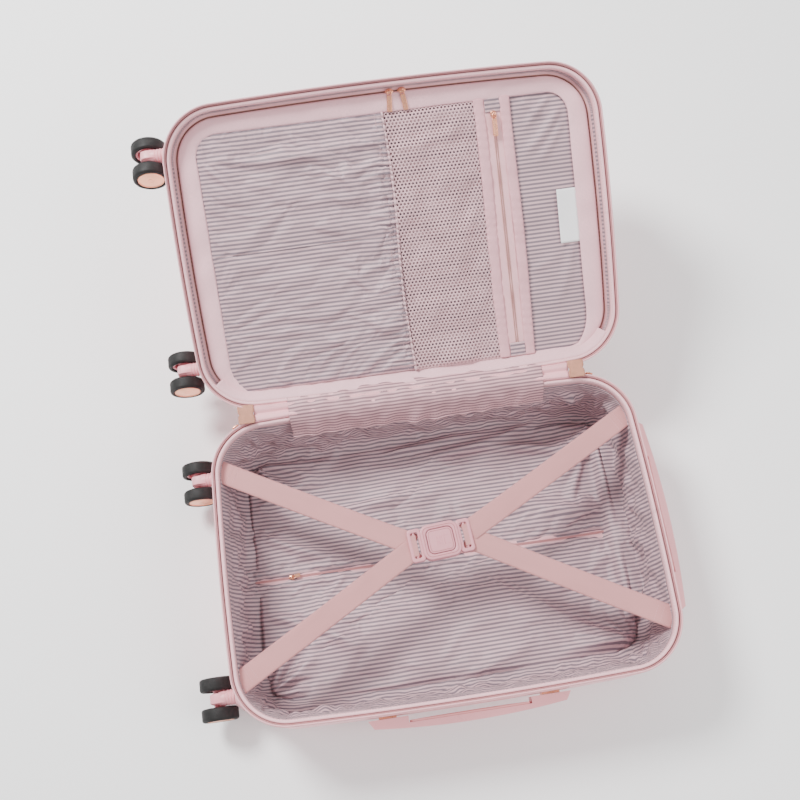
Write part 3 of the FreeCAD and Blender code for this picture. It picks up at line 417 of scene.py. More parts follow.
# ---------------------------------------------------------------- materials
class Paint:
    """A procedural material: a Principled shader and short helpers for the nodes that feed it."""

    def __init__(self, name, color, roughness=0.5, **settings):
        self.material = bpy.data.materials.new(name)
        self.material.use_nodes = True
        self.nodes, self.links = self.material.node_tree.nodes, self.material.node_tree.links
        self.shader = self.nodes["Principled BSDF"]
        self.set(self.shader, "Base Color", color)
        self.set(self.shader, "Roughness", roughness)
        for socket, value in settings.items():
            self.set(self.shader, socket.replace("_", " "), value)

    def set(self, node, socket, value):
        """Link an output to a socket, or set the socket's own number or colour."""
        target = node.inputs[socket]
        if isinstance(value, bpy.types.NodeSocket):
            self.links.new(value, target)
        elif isinstance(value, (tuple, list)) and len(value) == 3 and len(target.default_value) == 4:
            target.default_value = (*value, 1)
        else:
            target.default_value = value

    def node(self, kind, output=0, inputs=(), **settings):
        node = self.nodes.new(kind)
        for key, value in settings.items():
            setattr(node, key, value)
        for socket, value in dict(inputs).items():
            self.set(node, socket, value)
        return node.outputs[output]

    def math(self, operation, first, second=0.0, third=0.0):
        return self.node("ShaderNodeMath", inputs={0: first, 1: second, 2: third}, operation=operation)

    def mix(self, share, first, second):
        return self.node("ShaderNodeMix", 2, {0: share, 6: first, 7: second}, data_type="RGBA")

    def cloth(self):
        """The place on the cloth, in metres."""
        return self.node("ShaderNodeUVMap", uv_map="cloth")

    def place(self):
        return self.node("ShaderNodeTexCoord", "Object")

    def noise(self, where, scale, detail=3, roughness=0.5):
        return self.node("ShaderNodeTexNoise", 0, {"Vector": where, "Scale": scale, "Detail": detail,
                                                   "Roughness": roughness})

    def cells(self, where, scale, feature="F1"):
        return self.node("ShaderNodeTexVoronoi", 0, {"Vector": where, "Scale": scale}, feature=feature)

    def stretched(self, where, x, y, z=1.0):
        return self.node("ShaderNodeMapping", 0, {"Vector": where, "Scale": (x, y, z)})

    def axis(self, where, name):
        return self.node("ShaderNodeSeparateXYZ", name, {0: where})

    def wave(self, coordinate, pitch):
        """A smooth 0 to 1 wave along a coordinate in metres."""
        turned = self.math("MULTIPLY", coordinate, 2 * math.pi / pitch)
        return self.math("MULTIPLY_ADD", self.math("SINE", turned), 0.5, 0.5)

    def range(self, value, low, high, new_low=0.0, new_high=1.0):
        return self.node("ShaderNodeMapRange", 0, {0: value, 1: low, 2: high, 3: new_low, 4: new_high})

    def bump(self, height, distance, strength=1.0):
        """Raise the surface by a height from 0 to 1, over a distance in millimetres."""
        earlier = self.shader.inputs["Normal"]
        inputs = {"Height": height, "Distance": distance * MM, "Strength": strength}
        if earlier.is_linked:
            inputs["Normal"] = earlier.links[0].from_socket
        self.set(self.shader, "Normal", self.node("ShaderNodeBump", 0, inputs))
        return self

    def tint(self, value, first, second):
        self.set(self.shader, "Base Color", self.mix(value, first, second))
        return self

    def gloss(self, value, low, high):
        self.set(self.shader, "Roughness", self.range(value, 0.0, 1.0, low, high))
        return self


def shade(color, amount):
    return tuple(channel * amount for channel in color)


def plastic(name, color, roughness, grain=0.05, scale=1100, wear=0.10, coat=0.0):
    """Moulded plastic: a fine grain, slow colour drift, rubbed lighter patches and faint scratches."""
    paint = Paint(name, color, roughness, Coat_Weight=coat, Coat_Roughness=0.25)
    where = paint.place()
    drift, rub = paint.noise(where, 14), paint.noise(where, 90, 5, 0.65)
    paint.tint(paint.range(drift, 0.3, 0.7), shade(color, 0.955), shade(color, 1.03))
    paint.gloss(paint.range(rub, 0.35, 0.65), roughness - wear, roughness + wear)
    scratch = paint.noise(paint.stretched(where, 1, 9, 3), 260, 2)
    paint.bump(paint.cells(where, scale), grain).bump(paint.range(scratch, 0.62, 0.7), 0.012)
    return paint.material


def metal(name, color, roughness, brushed=(1, 1, 1)):
    """Plated or brushed metal: fine directional scratches and tarnish."""
    paint = Paint(name, color, roughness, Metallic=1.0)
    where = paint.place()
    brush = paint.noise(paint.stretched(where, *brushed), 500, 4, 0.7)
    tarnish = paint.noise(where, 60, 4)
    paint.tint(paint.range(tarnish, 0.35, 0.7), shade(color, 1.03), shade(color, 0.86))
    paint.gloss(brush, max(0.05, roughness - 0.12), roughness + 0.14)
    return paint.bump(brush, 0.012).material


def woven(name, color, slub=0.12, thread=0.55, sheen=0.12, roughness=0.72, depth=0.10, darker=0.8):
    """Plain weave: crossing threads with thick and thin places."""
    paint = Paint(name, color, roughness, Sheen_Weight=sheen, Sheen_Roughness=0.4, Specular_IOR_Level=0.3)
    where = paint.cloth()
    along, across = paint.axis(where, "X"), paint.axis(where, "Y")
    warp, weft = paint.wave(along, thread * MM), paint.wave(across, thread * MM)
    weave = paint.math("MAXIMUM", warp, weft)
    long_slub = paint.noise(paint.stretched(where, 260, 1500), 1.0, 3)
    cross_slub = paint.noise(paint.stretched(where, 1500, 260), 1.0, 3)
    slubs = paint.math("MULTIPLY_ADD", long_slub, 0.5, paint.math("MULTIPLY", cross_slub, 0.5))
    base = paint.mix(paint.range(slubs, 0.38, 0.62), shade(color, 1 - slub), shade(color, 1 + slub))
    soiled = paint.mix(paint.range(paint.noise(where, 26, 3), 0.35, 0.7), base, shade(color, 0.93))
    paint.tint(paint.range(weave, 0.2, 0.9), shade(color, darker), soiled)
    return paint.bump(weave, depth).bump(slubs, 0.14).material


def striped(name, light, dark, pitch=4.7, duty=0.5, sheen=0.12, roughness=0.40, rumple=0.5):
    """Satin lining: woven stripes along the cloth's length, a fine rib across them, soft creasing."""
    paint = Paint(name, light, roughness, Sheen_Weight=sheen, Sheen_Roughness=0.35, Specular_IOR_Level=0.42)
    where = paint.cloth()
    drift = paint.noise(where, 9, 2)
    across = paint.math("MULTIPLY_ADD", drift, 0.0012, paint.axis(where, "Y"))
    stripe = paint.range(paint.wave(across, pitch * MM), duty - 0.16, duty + 0.16)
    cast = paint.noise(paint.stretched(where, 1, 2.4), 11, 4)
    light_now = paint.mix(paint.range(cast, 0.35, 0.68), light, shade(light, 0.86))
    dark_now = paint.mix(paint.range(cast, 0.35, 0.68), dark, shade(dark, 0.9))
    thread = paint.wave(paint.axis(where, "X"), 0.42 * MM)
    weft = paint.wave(paint.axis(where, "Y"), 0.36 * MM)
    weave = paint.math("MULTIPLY", thread, weft)
    color = paint.mix(stripe, dark_now, light_now)
    paint.tint(paint.range(weave, 0.0, 1.0, 0.0, 0.10), color, shade(light, 1.12))
    paint.gloss(paint.range(paint.noise(where, 35, 3), 0.3, 0.7), roughness - 0.07, roughness + 0.10)
    crease = paint.noise(paint.stretched(where, 1, 1.6), 55, 5, 0.62)
    return paint.bump(crease, rumple).bump(weave, 0.06).bump(stripe, 0.05).material


def ribbed(name, color, pitch=0.9, depth=0.18, roughness=0.6, contrast=0.82):
    """Grosgrain and zip tape: close ribs across the tape's length."""
    paint = Paint(name, color, roughness, Sheen_Weight=0.1, Sheen_Roughness=0.4, Specular_IOR_Level=0.35)
    where = paint.cloth()
    rib = paint.wave(paint.axis(where, "X"), pitch * MM)
    fibre = paint.noise(paint.stretched(where, 900, 900), 1.0, 3)
    drift = paint.noise(where, 20, 3)
    base = paint.mix(paint.range(drift, 0.35, 0.7), shade(color, 1.04), shade(color, 0.94))
    paint.tint(paint.range(rib, 0.0, 0.8), shade(color, contrast), base)
    return paint.bump(rib, depth).bump(fibre, 0.08).material


def twill(name, color, pitch=0.85):
    """Strap webbing: a close diagonal weave."""
    paint = Paint(name, color, 0.55, Sheen_Weight=0.12, Sheen_Roughness=0.35, Specular_IOR_Level=0.4)
    where = paint.cloth()
    along, across = paint.axis(where, "X"), paint.axis(where, "Y")
    diagonal = paint.wave(paint.math("ADD", along, paint.math("MULTIPLY", across, 0.6)), pitch * MM)
    weft = paint.wave(across, 0.7 * MM)
    weave = paint.math("MULTIPLY_ADD", diagonal, 0.65, paint.math("MULTIPLY", weft, 0.35))
    drift = paint.noise(paint.stretched(where, 1, 3), 22, 4)
    base = paint.mix(paint.range(drift, 0.35, 0.7), shade(color, 1.03), shade(color, 0.94))
    paint.tint(paint.range(weave, 0.15, 0.75), shade(color, 0.86), base)
    return paint.bump(weave, 0.16).material


def leather(name, color):
    """Grained tan leather with darker pores and burnished high spots."""
    paint = Paint(name, color, 0.5, Specular_IOR_Level=0.4)
    where = paint.place()
    pores, cloud = paint.cells(where, 900, "DISTANCE_TO_EDGE"), paint.noise(where, 120, 4)
    base = paint.mix(paint.range(cloud, 0.35, 0.7), shade(color, 1.06), shade(color, 0.84))
    paint.tint(paint.range(pores, 0.0, 0.12), shade(color, 0.62), base)
    paint.gloss(cloud, 0.38, 0.62)
    return paint.bump(paint.range(pores, 0.0, 0.2), 0.14).material


def rubber(name, color):
    """Matt tyre rubber: mould bloom, dust and a fine grain."""
    paint = Paint(name, color, 0.62, Specular_IOR_Level=0.35)
    where = paint.place()
    dust = paint.noise(where, 70, 5, 0.7)
    paint.tint(paint.range(dust, 0.5, 0.8), color, (0.03, 0.028, 0.028))
    paint.gloss(paint.noise(where, 150, 3), 0.5, 0.75)
    return paint.bump(paint.noise(where, 1500, 2), 0.05).material


SHELL, DUSTY, LINEN = (0.97, 0.50, 0.54), (0.62, 0.275, 0.275), (0.95, 0.56, 0.61)
STRIPE_LIGHT, STRIPE_DARK = (0.67, 0.435, 0.465), (0.20, 0.15, 0.18)
ROSE_GOLD = (0.92, 0.43, 0.28)
shell_pink = plastic("shell_pink_polycarbonate", SHELL, 0.36, 0.06, 700, coat=0.12)
housing_pink = plastic("housing_pink_plastic", shade(SHELL, 0.97), 0.42)
fork_pink = plastic("fork_pink_plastic", (0.85, 0.38, 0.42), 0.4)
hub_pink = plastic("hub_pink_plastic", (0.72, 0.28, 0.32), 0.4)
handle_pink = plastic("handle_pink_plastic", (0.97, 0.50, 0.53), 0.36, coat=0.08)
soft_pad = plastic("soft_pad_rubber", (0.92, 0.48, 0.48), 0.6, 0.04, 1500, 0.06)
buckle_pink = plastic("buckle_pink_plastic", (0.68, 0.295, 0.34), 0.34, 0.02, 1500)
# Darker pink for the buckle's thin rings: painted shade standing in for the shadow inside its grooves.
painted_groove_shade = plastic("groove_pink_plastic", (0.46, 0.16, 0.18), 0.45, 0.02, 1500)
button_pink = plastic("button_pink_plastic", (0.62, 0.31, 0.34), 0.42, 0.05, 1300)
rose_gold = metal("rose_gold_plating", ROSE_GOLD, 0.27)
rose_cap = metal("rose_gold_cap", (0.95, 0.46, 0.30), 0.36, (1, 8, 1))
steel = metal("bright_steel_turned", (0.62, 0.62, 0.63), 0.24)
aluminium = metal("bare_aluminium_drawn", (0.70, 0.71, 0.72), 0.3, (0.05, 4, 4))
tyre_black = rubber("tyre_black_rubber", (0.010, 0.0095, 0.0095))
tan_leather = leather("tan_leather_grained", (0.60, 0.27, 0.18))
stripe_lining = striped("stripe_lining_satin", STRIPE_LIGHT, STRIPE_DARK)
stripe_panel = striped("stripe_panel_satin", shade(STRIPE_LIGHT, 0.97), shade(STRIPE_DARK, 1.0), rumple=0.45)
flap_stripe = striped("stripe_flap_satin", (0.74, 0.41, 0.44), (0.27, 0.155, 0.18), 4.2, 0.5)
linen_pink = woven("linen_pink_weave", LINEN)
linen_tape = woven("linen_tape_weave", (0.84, 0.44, 0.49), 0.07, 0.5)
mesh_thread = woven("mesh_pink_thread", (0.80, 0.50, 0.53), 0.08, 0.3, 0.35)
piping_pink = ribbed("piping_pink_grosgrain", (0.97, 0.57, 0.61), 0.8, 0.10, 0.52, contrast=0.9)
zip_tape_pink = ribbed("zip_tape_pink_ribs", (0.95, 0.52, 0.56), 1.3, 0.22)
hinge_satin = ribbed("hinge_tape_satin", (0.95, 0.47, 0.52), 0.5, 0.05, 0.45, contrast=0.93)
coil_rose = ribbed("zip_coil_rose", (0.60, 0.26, 0.27), 1.1, 0.2, 0.42)
coil_brown = ribbed("zip_coil_brown", (0.46, 0.23, 0.19), 1.1, 0.2, 0.4)
strap_webbing = twill("strap_webbing_twill", DUSTY)
label_satin = woven("label_white_satin", (0.95, 0.94, 0.95), 0.03, 0.35, 0.2, 0.55, 0.03, 0.95)
thread_pink = woven("thread_pink_polyester", (0.80, 0.45, 0.48), 0.05, 0.3)
thread_tan = woven("thread_tan_polyester", (0.42, 0.18, 0.13), 0.05, 0.3)

# ---------------------------------------------------------------- camera, floor and studio light
camera = bpy.data.objects.new("camera", bpy.data.cameras.new("camera"))
bpy.context.scene.collection.objects.link(camera)
camera.location = (-0.07695, -0.2032, 1.2313)
camera.rotation_euler = [math.radians(turn) for turn in (18.85, 0.01, -8.44)]
camera.data.lens, camera.data.sensor_width = 45, 36
bpy.context.scene.camera = camera

floor_mesh = bpy.data.meshes.new("studio_floor")
FLOOR_REACH = 8.0
floor_mesh.from_pydata([(x * FLOOR_REACH, y * FLOOR_REACH, 0)
                        for x, y in ((-1, -1), (1, -1), (1, 1), (-1, 1))], [], [(0, 1, 2, 3)])
floor_mesh.materials.append(Paint("studio_floor", (0.98, 0.98, 0.98), 0.85).material)
studio_floor = bpy.data.objects.new("studio_floor", floor_mesh)
studio_floor.location.z = cad_box[0][2] - 0.0005
bpy.context.scene.collection.objects.link(studio_floor)


def soft_box(name, place, target, size, power):
    """A large soft area light that faces a point."""
    light = bpy.data.lights.new(name, "AREA")
    light.shape, light.size, light.energy = "DISK", size, power
    lamp = bpy.data.objects.new(name, light)
    lamp.location = place
    lamp.rotation_euler = (Vector(target) - Vector(place)).to_track_quat("-Z", "Y").to_euler()
    bpy.context.scene.collection.objects.link(lamp)


middle = (0, 0.1, 0.1)
soft_box("key_light", (-1.2, 1.3, 2.1), middle, 0.8, 104)
soft_box("fill_light", (1.6, -0.9, 1.9), middle, 1.8, 34)
soft_box("rim_light", (0.4, 2.4, 1.0), middle, 1.0, 14)
world = bpy.data.worlds.new("studio")
world.use_nodes = True
world.node_tree.nodes["Background"].inputs["Color"].default_value = (1, 1, 1, 1)
world.node_tree.nodes["Background"].inputs["Strength"].default_value = 0.84
bpy.context.scene.world = world

# ---------------------------------------------------------------- finish of the CAD pieces that stay
FINISHES = {
    "shell_pink": shell_pink, "zip_pink": zip_tape_pink, "linen_pink": linen_pink, "rose_gold": rose_gold,
    "housing_pink": housing_pink, "bare_aluminium": aluminium, "handle_pink": handle_pink,
    "soft_pad": soft_pad, "button_pink": button_pink, "bright_steel": steel, "tan_leather": tan_leather,
    "stripe_lining": stripe_lining, "mesh_pink": mesh_thread, "strap_pink": strap_webbing,
    "buckle_pink": buckle_pink, "label_white": label_satin, "fork_pink": fork_pink,
    "black_tyre": tyre_black, "hub_pink": hub_pink,
}
for part in frame["record"]["subparts"]:
    mesh = frame["nodes"][part["node"]].data
    mesh.materials.clear()
    mesh.materials.append(FINISHES[part["material_slot"]])
ROUNDED = {"rear_shell": 0, "front_shell": 0, "side_handle_grip": 1.6, "top_handle_grip": 1.6,
           "rear_wheel_housings": 0.6, "front_wheel_housings": 0.6, "handle_brackets": 0.5,
           "trolley_cup": 0.4, "trolley_grip": 1.2, "trolley_button": 0.6, "trolley_outer_tubes": 0.6,
           "trolley_middle_tubes": 0.6, "trolley_inner_tubes": 0.6, "trolley_push_rods": 0.3}
for name, radius in ROUNDED.items():
    node = frame["nodes"][name]
    weld = node.modifiers.new("Weld", "WELD")
    weld.merge_threshold = 0.00002
    if radius:
        soften = node.modifiers.new("Edges", "BEVEL")
        soften.width, soften.segments, soften.angle_limit = radius * MM, 3, math.radians(40)

# ---------------------------------------------------------------- rims: zip tape, coil, piping
PIPING = [(3.9, 110.0), (3.9, 120.6), (4.3, 121.8), (5.2, 122.5), (6.3, 122.6), (7.4, 122.1), (8.1, 121.2),
          (8.4, 119.8), (8.4, 110.0)]
TAPE = [(0.45, 120.2), (0.4, 124.8), (0.9, 125.6), (1.7, 125.6), (2.3, 124.6), (2.4, 120.2)]
COIL = rounded(2.25, 3.75, 121.4, 124.3, 0.7)
SEAM_RISE, SEAM_INSET = 121.9, 7.7


def rim(half, body, at):
    """The zip half, the piping and its seam that finish one half's edge."""
    band(half + "_zip_tape_woven", TAPE, zip_tape_pink, body, at, step=1.2, ribs=2.4, depth=0.16,
         replaces=(half + "_zip_tape",))
    band(half + "_zip_coil", COIL, coil_rose, body, at, step=0.55, ribs=1.65, depth=0.42)
    band(half + "_piping", PIPING, piping_pink, body, at, step=4,
         replaces=(half + "_rim_binding",))
    run = np.linspace(0, LOOP, 900)
    plan, _ = round_case(run, np.full(900, SEAM_INSET))
    seam = np.c_[plan, np.full(900, SEAM_RISE)]
    stitches(half + "_piping_stitches", seam, thread_pink, body, at, 3.2, 2.2, 0.5)


rim("rear", "rear_case", None)
rim("front", "lid", LID)


# ---------------------------------------------------------------- linings
LINING_TOP, LINING_INSET, LINING_FILLET = 112.5, 33, 20.0
FLOOR_SHARE = 0.62


def lining_form(rings, floor):
    """A tub of cloth as a grid: places, cloth map, how far up its wall each point is, and plan normals."""
    out, run = disc_grid(rings)
    inside = out <= FLOOR_SHARE
    wall = np.clip((out - FLOOR_SHARE) / (1 - FLOOR_SHARE), 0, 1)
    bend = np.clip(wall / 0.3, 0, 1) * math.pi / 2
    rise = np.clip((wall - 0.3) / 0.7, 0, 1)
    straight = LINING_TOP - floor - LINING_FILLET
    inset = LINING_INSET - LINING_FILLET * np.sin(bend) - (LINING_INSET - LINING_FILLET - 8.5) * rise
    height = floor + LINING_FILLET * (1 - np.cos(bend)) + straight * rise
    plan, normal = round_case(run, inset)
    edge, _ = round_case(run, np.full(run.shape, LINING_INSET))
    plan = np.where(inside[..., None], edge * (out / FLOOR_SHARE)[..., None], plan)
    travel = np.where(inside, 0, LINING_FILLET * bend + straight * rise)
    uv = np.where(inside[..., None], plan, edge + normal * travel[..., None])
    return np.concatenate([plan, height[..., None]], -1), uv, wall, normal


def settle(piece, sewn, growth, frames, reach, up):
    """Let a cloth cut a little too large buckle into natural folds between its seams, then keep its shape.

    What lies under the cloth turns every sag into a fold on the side that up points to.
    """
    scene = bpy.context.scene
    before = np.array([vertex.co for vertex in piece.data.vertices])
    held = piece.vertex_groups.new(name="sewn")
    held.add(np.flatnonzero(sewn).tolist(), 1.0, "REPLACE")
    cloth = piece.modifiers.new("Cloth", "CLOTH")
    settings = cloth.settings
    settings.vertex_group_mass = "sewn"
    settings.quality, settings.mass, settings.air_damping = 6, 0.15, 4
    settings.tension_stiffness = settings.compression_stiffness = 18
    settings.shear_stiffness, settings.bending_stiffness = 6, 0.15
    settings.shrink_min = -growth
    settings.effector_weights.gravity = 0
    cloth.collision_settings.use_collision = False
    cloth.point_cache.frame_start, cloth.point_cache.frame_end = 1, frames
    for number in range(1, frames + 1):
        scene.frame_set(number)
    settled = piece.evaluated_get(bpy.context.evaluated_depsgraph_get())
    after = np.array([vertex.co for vertex in settled.to_mesh().vertices])[:len(before)]
    settled.to_mesh_clear()
    piece.modifiers.remove(cloth)
    piece.vertex_groups.remove(held)
    scene.frame_set(1)
    move = after - before
    size = np.linalg.norm(move, axis=1, keepdims=True)
    move *= np.minimum(1, reach * MM / np.maximum(size, 1e-9))
    rise = (move * up).sum(1, keepdims=True)
    soft = 0.6 * MM
    move += (np.sqrt(rise ** 2 + soft ** 2) - soft - rise) * up
    piece.data.vertices.foreach_set("co", (before + move).astype(np.float32).ravel())
    piece.data.update()


def rear_lining():
    """The rear half's bag: puckered at the rim, creased at its corners and rucked along its middle zip."""
    points, uv, wall, normal = lining_form(118, TUB_FLOOR)
    x, y = points[..., 0].copy(), points[..., 1].copy()
    flat = wall <= 0
    floor_share = np.clip(1 - wall * 3, 0, 1)
    lift = crumple(x, y, 3, 44, (-215, -145, 200, 145), (50, 150), (5, 10), (1.2, 4.2), 0.35)
    lift += 1.6 * waves(x, y, 75, 5, stretch=1.6) + 0.6 * waves(x, y, 24, 6, stretch=2.5)
    for corner, spread in (((-205, 138), 6), ((-208, -128), 7), ((205, -128), 8), ((206, 128), 8)):
        inward = -np.array(corner, float) / 2.2
        for number in range(5):
            turn = (number - 2) * 0.28
            swing = np.array([inward[0] * math.cos(turn) - inward[1] * math.sin(turn),
                              inward[0] * math.sin(turn) + inward[1] * math.cos(turn)])
            start = np.array(corner) - 0.06 * inward
            lift += fold(x, y, start, start + swing * (0.45 + 0.12 * number), spread * 0.7,
                         9.0 - 1.1 * number, 6 * (number % 2))
    lift += folds(x, y, ((215, 25), (60, 62), 9, 9, 8), ((208, 92), (40, 128), 7, 9.5, -7),
                  ((150, 150), (-20, 120), 8, 8, 6), ((-60, 135), (120, 148), 6, 6.5),
                  ((-215, -40), (-90, -100), 8, 8, 7), ((-212, 60), (-120, 20), 8, 6, -6))
    ruck = np.exp(-((y - 2) / 26) ** 2)
    lift += ruck * (0.9 * waves(x, y, 17, 8, stretch=1.6) + 0.6 * waves(x, y, 9, 9, stretch=2.2))
    lip = 2.6 * (np.exp(-((y - 7.5 - waves(x, 0, 40, 10)) / 3.2) ** 2)
                 + np.exp(-((y + 7.5 - waves(x, 0, 37, 11)) / 3.2) ** 2))
    lift += lip * (np.abs(x) < 222)
    dip = np.exp(-(y / 4.5) ** 2)
    points[..., 2] += np.maximum(lift + 1.0, -0.4) * floor_share * (1 - 0.85 * dip)
    run = np.unwrap(np.arctan2(y, x), axis=0)
    gather = np.sin(math.pi * np.clip(wall, 0, 1)) * (1 - flat)
    bulge = 3.0 * waves(uv[..., 0], uv[..., 1], 38, 12) + 1.3 * waves(uv[..., 0], uv[..., 1], 14, 13)
    tuck = 0.7 * np.sin(run * 210 + 2 * np.sin(run * 31)) * np.clip((wall - 0.8) * 5, 0, 1) * (wall < 0.995)
    inward = np.maximum(gather * (bulge + 3.0), -0.4) + np.maximum(tuck, 0)
    points[..., :2] -= normal * inward[..., None]
    shelf = 1 / (1 + np.exp(-(x - 207.5) / 1.6)) / (1 + np.exp((np.abs(y) - 105) / 1.6))
    low = points[..., 2] < 39
    points[..., 2] = np.where(low, points[..., 2] + (39 - points[..., 2]) * shelf, points[..., 2])
    piece = make("rear_lining_cloth", points, grid_faces(*wall.shape), stripe_lining, "rear_case",
                 uv, replaces=("rear_lining",))
    sewn = (wall >= 0.97) | ((np.abs(y) < 4.5) & flat)
    up = np.where(flat[..., None], (0, 0, 1.0), np.concatenate([-normal, np.zeros((*x.shape, 1))], -1))
    settle(piece, sewn.ravel(), 0.03, 14, 7, up.reshape(-1, 3))
    thicken(piece, 0.35, 1)


def front_lining():
    """The lid's lining, seen as a band inside the rim and whole when the divider opens."""
    points, uv, wall, normal = lining_form(80, LID_FLOOR)
    x, y = points[..., 0].copy(), points[..., 1].copy()
    floor_share = np.clip(1 - wall * 3, 0, 1)
    lift = crumple(x, y, 23, 30, (-215, -140, 200, 140), (50, 140), (6, 12), (0.6, 2.2), 0.3)
    points[..., 2] += np.maximum(lift, -0.5) * floor_share
    bulge = waves(uv[..., 0], uv[..., 1], 30, 14) + 0.6 * waves(uv[..., 0], uv[..., 1], 12, 15)
    points[..., :2] -= normal * (np.maximum(bulge + 1.2, -0.2) * np.sin(math.pi * wall))[..., None]
    piece = make("front_lining_cloth", points, grid_faces(*wall.shape), stripe_lining, "lid",
                 uv, LID, ("front_lining",))
    thicken(piece, 0.35, 1)


rear_lining()
front_lining()


# ---------------------------------------------------------------- cross straps and their buckle
STRAP_WIDTH, BUCKLE_MIDDLE, BUCKLE_LEVEL, BUCKLE_TURN = 25, 3, 102, math.radians(4)
BUCKLE = (Matrix.Translation((0, BUCKLE_MIDDLE, BUCKLE_LEVEL)) @ Matrix.Rotation(BUCKLE_TURN, 4, "Z"))
BUCKLE_HALF, ADJUSTER = 22, 14


def strap(name, side, up, over, replaces=()):
    """A flat strap from its sewn anchor at the rim, sagging a little, through the buckle's frame."""
    end = np.array(BUCKLE @ Vector((side * (BUCKLE_HALF + 7.5), up * 1.5, 0)))
    anchor = np.array([side * 233.0, up * 115.5, 0])
    run = anchor - end
    length = np.hypot(run[0], run[1]) + 9
    ahead = run[:2] / np.hypot(run[0], run[1])
    across = np.array([-ahead[1], ahead[0]])
    along = np.linspace(0, length, 90)
    wide = np.linspace(-STRAP_WIDTH / 2, STRAP_WIDTH / 2, 13)
    share = along / length
    level = 107.2 + over * 1.7 * np.clip(1 - share * 2.2, 0, 1) + 3.4 * share ** 2
    sag = -1.5 * np.sin(math.pi * share)
    dip = -2.6 * np.exp(-(along / 6.0) ** 2)
    across_share = wide[None] / (STRAP_WIDTH / 2)
    height = (level + sag + dip)[:, None] - 0.5 * across_share ** 4
    height = height + 0.35 * np.sin(along / 23 + side)[:, None] * across_share
    plan = end[None, None, :2] + along[:, None, None] * ahead + wide[None, :, None] * across
    points = np.concatenate([plan, height[..., None]], -1)
    uv = on_grid(along[:, None], wide[None])
    piece = make(name, points, grid_faces(90, 13), strap_webbing, "rear_case", uv,
                 replaces=replaces)
    thicken(piece, 1.1, 0)
    for edge in (-1, 1):
        line = end[:2] + along[3:-2, None] * ahead + edge * (STRAP_WIDTH / 2 - 1.6) * across
        lift = (level + sag + dip)[3:-2] + 0.15
        stitches("%s_edge_%s" % (name, "near" if edge < 0 else "far"), np.c_[line, lift], thread_pink,
                 "rear_case", None, 3.0, 2.2, 0.3)
    for place in (length - 20, length - 13.5):
        share_here = place / length
        rise = 107.2 + 3.4 * share_here ** 2 - 1.5 * math.sin(math.pi * share_here) + 0.62
        spread = np.linspace(-10.5, 10.5, 20)
        line = end[:2] + place * ahead + spread[:, None] * across
        stitches("%s_anchor_seam_%d" % (name, place), np.c_[line, np.full(20, rise)], thread_pink,
                 "rear_case", None, 3.0, 2.2, 0.45)


strap("strap_lower_right", 1, -1, 0, ("cross_straps",))
strap("strap_upper_left", -1, 1, 0)
strap("strap_lower_left", -1, -1, 1)
strap("strap_upper_right", 1, 1, 1)

CASE_PLAN = rounded_plan(BUCKLE_HALF, 20, 9)
CASE_PLAN[:, 1] += 0.8 * np.sign(CASE_PLAN[:, 1]) * (1 - (CASE_PLAN[:, 0] / BUCKLE_HALF) ** 2)
WELL_PLAN = rounded_plan(15.6, 14.4, 6.5)
PANEL_PLAN = rounded_plan(13.6, 12.6, 5.4)
slab("buckle_base", CASE_PLAN, 0, 6.8, 1.4, buckle_pink, "rear_case", BUCKLE,
     ("buckle_socket",))
frame_slab("buckle_rim", shrink(CASE_PLAN, 0.3), WELL_PLAN, 6.4, 10.6, 1.3, buckle_pink, "rear_case",
           BUCKLE)
# A thin dark ring on the buckle's top: painted shade of a groove.
frame_slab("buckle_groove_shade", shrink(CASE_PLAN, 3.2), shrink(CASE_PLAN, 4.1), 9.9, 10.75, 0.2, painted_groove_shade,
           "rear_case", BUCKLE)
slab("buckle_button_panel", shrink(WELL_PLAN, 0.7), 8.2, 10.4, 0.7, buckle_pink, "buckle_press",
     BUCKLE, ("buckle_button",), crown=0.5)
# A thin dark ring on the button panel: painted shade of a groove.
frame_slab("buckle_button_groove_shade", shrink(WELL_PLAN, 2.3), shrink(WELL_PLAN, 3.0), 10.2, 10.72, 0.15,
           painted_groove_shade, "buckle_press", BUCKLE)
for number, offset in enumerate((-4.2, -1.4, 1.4, 4.2)):
    slab("buckle_button_ridge_%d" % number, rounded_plan(0.5, 5.4, 0.45, 3, (offset, 0)), 10.5, 11.15, 0.3,
         buckle_pink, "buckle_press", BUCKLE)


def adjuster(name, side, replaces):
    """The slotted frame beside the buckle, its bar and the strap's turned end."""
    centre = side * (BUCKLE_HALF + ADJUSTER / 2 - 0.5)
    outer = rounded_plan(ADJUSTER / 2 + 1, 19, 4, 6, (centre, 0))
    inner = rounded_plan(ADJUSTER / 2 - 3, 14.6, 1.6, 6, (centre, 0))
    frame_slab(name, outer, inner, 2, 9, 1.2, buckle_pink, "rear_case", BUCKLE, replaces)
    bar = [(centre + side * 0.6, y, 6.3) for y in np.linspace(-15.5, 15.5, 12)]
    rod_along(name + "_bar", bar, 1.5, buckle_pink, "rear_case", BUCKLE)
    slab(name + "_tongue", rounded_plan(3.0, 12.2, 0.8, 3, (centre + side * 1.5, 0)), 6.3, 8.4, 0.5,
         strap_webbing, "rear_case", BUCKLE)


adjuster("adjuster_left", -1, ())
adjuster("adjuster_right", 1, ("buckle_plug",))


